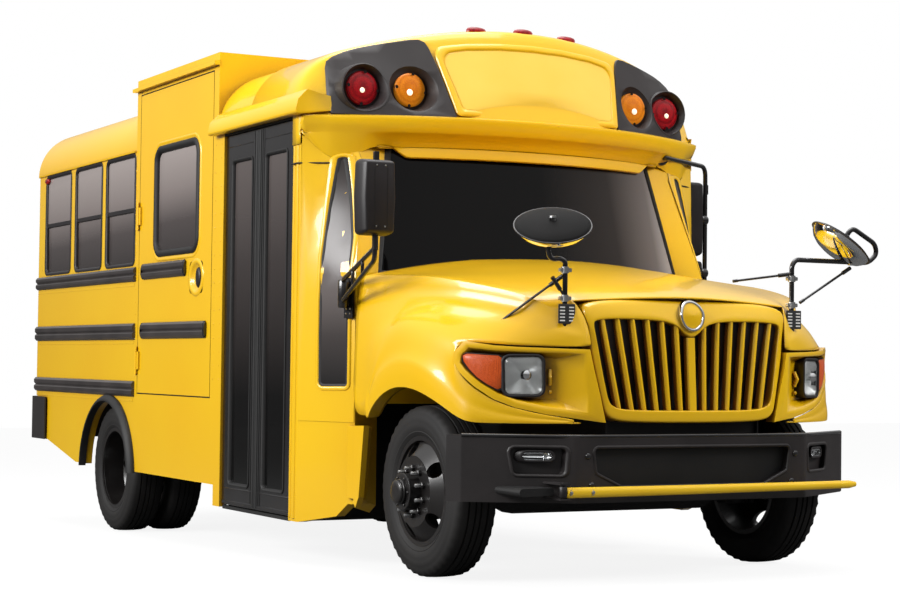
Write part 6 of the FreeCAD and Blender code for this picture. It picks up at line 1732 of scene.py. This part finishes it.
def badge_ring(share, out):
    """oval ring on the grille shell, standing out from it"""
    oval = [(BADGE_WIDE * share * c, BADGE_Z + BADGE_TALL * share * s) for c, s in around(56)]
    return [Vector((x, nose_y(0, z) - 10 - out, z)) for x, z in oval]


rim = skin([badge_ring(k, out)
            for k, out in ((1.0, -12), (1.0, 6), (0.96, 10), (0.88, 11), (0.82, 8), (0.8, 4))])
field = skin([badge_ring(k, out)
              for k, out in ((0.8, 4), (0.78, 5), (0.74, 4), (0.6, 6), (0.3, 8), (0.02, 9))])
piece("badge_rim", [rim], chrome, "hood_assembly", "grey_plastic", smooth=70)
piece("badge_field", [field], moulded_yellow, "hood_assembly", smooth=70)


# %% [markdown]
# The rear has the emergency door between two fixed panes. Its lamps are round: stop and tail in
# red, turn in amber above the bumper, each in a black rubber grommet. The door has a seal and a
# bar handle on a plate; its hinges are in the CAD.


# %% Rear lamps, seals and handle
REAR_PLANE = 5700
grommets, reds, ambers = [], [], []
for x, z, radius, target in ((960, 1060, 90, reds), (960, 1250, 60, reds), (740, 1060, 90, ambers)):
    grommets.append(turned([(0, radius + 16), (9, radius + 14), (13, radius + 6), (13, radius + 1),
                            (4, radius - 1)], (x, REAR_PLANE, z), "y", 48, capped=False))
    target.append(turned([(2, radius), (14, radius), (18, radius - 8), (22, radius * 0.6),
                          (24, radius * 0.25), (24.5, 1)], (x, REAR_PLANE, z), "y", 48))
for x in (940, 690):
    grommets.append(turned([(0, 118), (10, 116), (16, 108), (16, 94), (2, 90)], (x, REAR_PLANE, 2420), "y",
                           48, capped=False))
piece("tail_lamp_grommets", both(grommets), black_rubber)
tails = piece("tail_lamp_lenses", both(reds), red_lens)
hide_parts("tail_lamps")
piece("rear_turn_lenses", both(ambers), amber_lens)
GASKET = ((-14, 1), (-12, 6), (-2, 8), (8, 5), (14, -2), (15, -12))


def rear_gasket(x, z):
    """rubber round a pane in the rear wall"""
    return bead(box_outline(x, z, 50), GASKET, face_at("y", REAR_PLANE))


piece("rear_pane_gaskets", both([rear_gasket((520, 1060), (1603, 2200))]), black_rubber)
door_parts = [rear_gasket((-280, 280), (1603, 2150)), rear_gasket((-280, 280), (1100, 1480))]
piece("rear_door_gaskets", door_parts, black_rubber, "rear_door_body")
frame_seal = bead(rectangle((-398, 398), (792, 2248)), ((-12, -2), (-10, 3), (-2, 4), (2, 0), (4, -8)),
                  face_at("y", REAR_PLANE))
piece("rear_doorway_seal", [frame_seal], black_rubber)
grip = bent([(-330, REAR_PLANE + 2, 1530), (-330, REAR_PLANE + 34, 1530), (-330, REAR_PLANE + 34, 1400),
             (-330, REAR_PLANE + 2, 1400)], 20)
latch = [tube(grip, 9, 12),
         prism(box_outline((-362, -298), (1374, 1556), 14), "y", REAR_PLANE - 2, REAR_PLANE + 5)]
piece("rear_door_handle", latch, black_enamel, "rear_door_body", bevel=2)


# %% [markdown]
# The stop blade is an octagon of red reflective sheet. Its words are left off; the white border
# line that every such plate has stays.


# %% Stop blade border
BLADE_HALF = 228
BLADE_RADIUS = BLADE_HALF / math.cos(math.radians(22.5))
blade_x, blade_y, blade_z = 1253, 1670 + BLADE_HALF, 1365
borders = []
for way in (-1, 1):
    rings = []
    for radius, out in ((0.95, 0), (0.95, 0.8), (0.89, 0.8), (0.89, 0)):
        corners = [math.radians(22.5 + 45 * n) for n in range(8)]
        rings.append([Vector((blade_x + way * (3 + out), blade_y + BLADE_RADIUS * radius * math.cos(a),
                              blade_z + BLADE_RADIUS * radius * math.sin(a))) for a in corners])
    borders.append(skin(rings))
piece("stop_blade_border", borders, white_enamel, "stop_blade", plain=True)


# %% [markdown]
# Seats are foam under sewn vinyl. Each pad is drawn a little small, remeshed, and swollen by a
# cloth simulation with air pressure inside and no gravity, so that its faces crown between the
# edges as real foam does. How far a point may move is capped. One bench is simulated, and its
# result is set at each row.


# %% Seat pads
PAD_TRAVEL, CLOTH_FRAMES = 24, 20


def solid_points(made):
    """points and faces of an object as its modifiers leave it, in the bus's frame"""
    shown = made.evaluated_get(bpy.context.evaluated_depsgraph_get()).to_mesh()
    return [BODY_BACK @ v.co for v in shown.vertices], [tuple(p.vertices) for p in shown.polygons]


def bare_object(name, points, faces):
    """plain object to simulate, from points in the bus's frame"""
    mesh = bpy.data.meshes.new(name)
    mesh.from_pydata([BODY @ Vector(p) for p in points], [], faces)
    made = bpy.data.objects.new(name, mesh)
    bpy.context.scene.collection.objects.link(made)
    return made


def swollen(name, part, voxel):
    made = bare_object(name, *part)
    grid = made.modifiers.new("grid", "REMESH")
    grid.mode, grid.voxel_size = "VOXEL", voxel / 1000
    points, faces = solid_points(made)
    bpy.data.objects.remove(made)
    made = bare_object(name, points, faces)
    cloth = made.modifiers.new("foam", "CLOTH")
    cloth.settings.use_pressure = True
    cloth.settings.uniform_pressure_force = 4
    cloth.settings.effector_weights.gravity = 0
    cloth.point_cache.frame_start, cloth.point_cache.frame_end = 1, CLOTH_FRAMES
    for step in range(1, CLOTH_FRAMES + 1):
        bpy.context.scene.frame_set(step)
        bpy.context.view_layer.update()
    after, faces = solid_points(made)
    bpy.data.objects.remove(made)
    bpy.context.scene.frame_set(1)
    moved = []
    for old, new in zip(points, after):
        step = new - old
        moved.append(old + step * min(1, PAD_TRAVEL / max(step.length, 0.001)))
    return moved, faces


# %% Benches
def shifted(part, by):
    """part moved by a vector"""
    return [p + Vector(by) for p in part[0]], part[1]


SEAT_INNER, SEAT_OUTER = 189, 1169
ROWS = ((1, (1900, 2590, 3280, 3970, 4660)), (-1, (3640, 4330)))
cushion = prism(rounded([(12, 1160, 26), (410, 1150, 26), (402, 1262, 30), (12, 1272, 44)]), "x",
                SEAT_INNER + 16, SEAT_OUTER - 16)
back = prism(rounded([(424, 1160, 20), (488, 1168, 20), (546, 1832, 30), (494, 1832, 30), (420, 1290, 20)]),
             "x", SEAT_INNER + 16, SEAT_OUTER - 16)
cushion, back = swollen("bench_cushion", cushion, 26), swollen("bench_back", back, 26)
cushions, backs, legs = [], [], []
for side, fronts in ROWS:
    for y in fronts:
        for pad, target in ((cushion, cushions), (back, backs)):
            moved = shifted(pad, (0, y, 0))
            target.append(moved if side == 1 else flipped(moved))
        frame_parts = []
        for x in (SEAT_INNER + 60, SEAT_OUTER - 120):
            route = [(x, y + 70, 900), (x, y + 50, 1130), (x, y + 440, 1120), (x, y + 420, 900)]
            frame_parts.append(tube(bent(route, 50), 13, 12))
            frame_parts.append(block((x - 26, x + 26), (y + 40, y + 450), (890, 896), 2))
        frame_parts.append(tube([(SEAT_INNER + 30, y + 60, 1140), (SEAT_OUTER - 20, y + 60, 1140)], 12, 12))
        frame_parts.append(tube([(SEAT_INNER + 30, y + 430, 1130), (SEAT_OUTER - 20, y + 430, 1130)], 12, 12))
        legs += frame_parts if side == 1 else [flipped(part) for part in frame_parts]
seat_pads = piece("bench_cushions", cushions, seat_vinyl, smooth=80, levels=1)
seat_backs = piece("bench_backs", backs, seat_vinyl, smooth=80, levels=1)
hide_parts("passenger_seats")
piece("bench_frames", legs, chassis_black)


# %% Driver's seat
driver_cushion = prism(rounded([(1342, 1250, 26), (1760, 1232, 26), (1752, 1322, 34), (1342, 1334, 40)]),
                       "x", 350, 830)
driver_back = prism(rounded([(1770, 1240, 20), (1826, 1245, 20), (1902, 1942, 36), (1826, 1942, 36),
                             (1748, 1350, 20)]), "x", 350, 830)
driver_pads = piece("driver_seat_pads",
                    [swollen("driver_cushion", driver_cushion, 20),
                     swollen("driver_back", driver_back, 20)], seat_vinyl, smooth=80, levels=1)
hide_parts("driver_seat")
bellows = [(896, 150), (910, 170), (960, 172), (975, 150)]
for fold in range(5):
    bellows += [(985 + fold * 44, 150), (1007 + fold * 44, 172)]
bellows += [(1212, 160), (1226, 180), (1240, 180)]
piece("driver_seat_pedestal", [turned(bellows, (590, 1580, 0), "z", 40)], black_rubber, smooth=30)


# %% [markdown]
# The studio is a plain pale floor with a white world. The camera sees it at strength 1. Gloss and
# glass see it dark at the horizon and full overhead, and what lights the bus is dimmer still, so
# that colours render near what is written. Of three large soft lamps, two show in the gloss.


# %% Floor
floor_mesh = bpy.data.meshes.new("studio_floor")
FLOOR_HALF = 60.0
floor_span = (-FLOOR_HALF, FLOOR_HALF)
floor_mesh.from_pydata(placed(rectangle(floor_span, floor_span), "z", 0), [], [(0, 1, 2, 3)])
floor_piece = bpy.data.objects.new("studio_floor", floor_mesh)
bpy.context.scene.collection.objects.link(floor_piece)
floor_paint, tree, surface, place = finish("pale_floor", Base_Color=(0.1, 0.1, 0.1, 1), Roughness=0.9)
path = add(tree, "LightPath")
seen = add(tree, "MapRange", {"Value": path.outputs["Is Camera Ray"], "To Min": 0.0, "To Max": 0.88})
white = add(tree, "Emission", {"Color": (1, 1, 1, 1), "Strength": seen.outputs["Result"]})
mixed = add(tree, "AddShader", {0: surface.outputs["BSDF"], 1: white.outputs["Emission"]})
tree.links.new(mixed.outputs["Shader"], tree.nodes["Material Output"].inputs["Surface"])
floor_mesh.materials.append(floor_paint)
print("floor", 2 * FLOOR_HALF, "m wide")


# %% World
world = bpy.data.worlds.new("studio")
bpy.context.scene.world = world
world.use_nodes = True
tree = world.node_tree
path = add(tree, "LightPath")
seen = add(tree, "Math", {0: path.outputs["Is Camera Ray"], 1: path.outputs["Is Glossy Ray"]},
           operation="MAXIMUM")
seen = add(tree, "Math", {0: seen.outputs["Value"], 1: path.outputs["Is Transmission Ray"]},
           operation="MAXIMUM")
height = add(tree, "SeparateXYZ", {"Vector": add(tree, "TexCoord").outputs["Generated"]}).outputs["Z"]
lit = add(tree, "MapRange",
          {"Value": height, "From Min": 0.02, "From Max": 0.7, "To Min": 0.08, "To Max": 1.0})
WORLD_LIGHT = 0.36
dimmed = add(tree, "MapRange", {"Value": seen.outputs["Value"], "To Min": WORLD_LIGHT, "To Max": 1.0})
studio = add(tree, "Math", {0: lit.outputs["Result"], 1: dimmed.outputs["Result"]}, operation="MULTIPLY")
strength = add(tree, "Math", {0: studio.outputs["Value"], 1: path.outputs["Is Camera Ray"]},
               operation="MAXIMUM")
tree.links.new(strength.outputs["Value"], tree.nodes["Background"].inputs["Strength"])
tree.nodes["Background"].inputs["Color"].default_value = (1, 1, 1, 1)
print("the world lights the bus at", WORLD_LIGHT, "of what is seen")


# %% Lamps
def soft_lamp(name, at, towards, size, watts, mirrored=True):
    """rectangular area lamp"""
    lamp = bpy.data.lights.new(name, "AREA")
    lamp.shape, lamp.size, lamp.size_y, lamp.energy = "RECTANGLE", *size, watts
    holder = bpy.data.objects.new(name, lamp)
    holder.location = at
    holder.rotation_euler = (Vector(towards) - Vector(at)).to_track_quat("-Z", "Y").to_euler()
    holder.visible_glossy = mirrored
    bpy.context.scene.collection.objects.link(holder)


MIDDLE = (0, 0, 1.3)
soft_lamp("key_right_front", (7.5, -10.0, 6.5), (0, -2, 1.2), (4, 3), 960, mirrored=False)
soft_lamp("side_left_high", (-11.0, -1.0, 5.5), (0, 0.5, 1.4), (9, 3), 1450)
soft_lamp("overhead", (0, -0.5, 9.0), MIDDLE, (5, 9), 600)
print(len(bpy.data.lights), "soft lamps")


# %% [markdown]
# The camera stands low ahead of the front corner, about 4 m out from the entrance side, with a
# long portrait lens. It is a little lower than the headlamps.


# %% Camera
camera = bpy.data.cameras.new("front_corner")
camera.lens, camera.sensor_width = 77.83, 36
CAMERA_X, CAMERA_AHEAD, CAMERA_HEIGHT = -5.27, 8.155, 0.806
CAMERA_TILT, CAMERA_TURN = math.radians(93.04), math.radians(-28.35)
camera_piece = bpy.data.objects.new("front_corner", camera)
camera_piece.location = (CAMERA_X, AXLE_Y - CAMERA_AHEAD, CAMERA_HEIGHT)
camera_piece.rotation_euler = (CAMERA_TILT, 0, CAMERA_TURN)
bpy.context.scene.collection.objects.link(camera_piece)
bpy.context.scene.camera = camera_piece
bpy.context.scene.view_settings.view_transform = "Standard"
print("camera", CAMERA_AHEAD, "m ahead of the front axle with a", round(camera.lens), "mm lens")
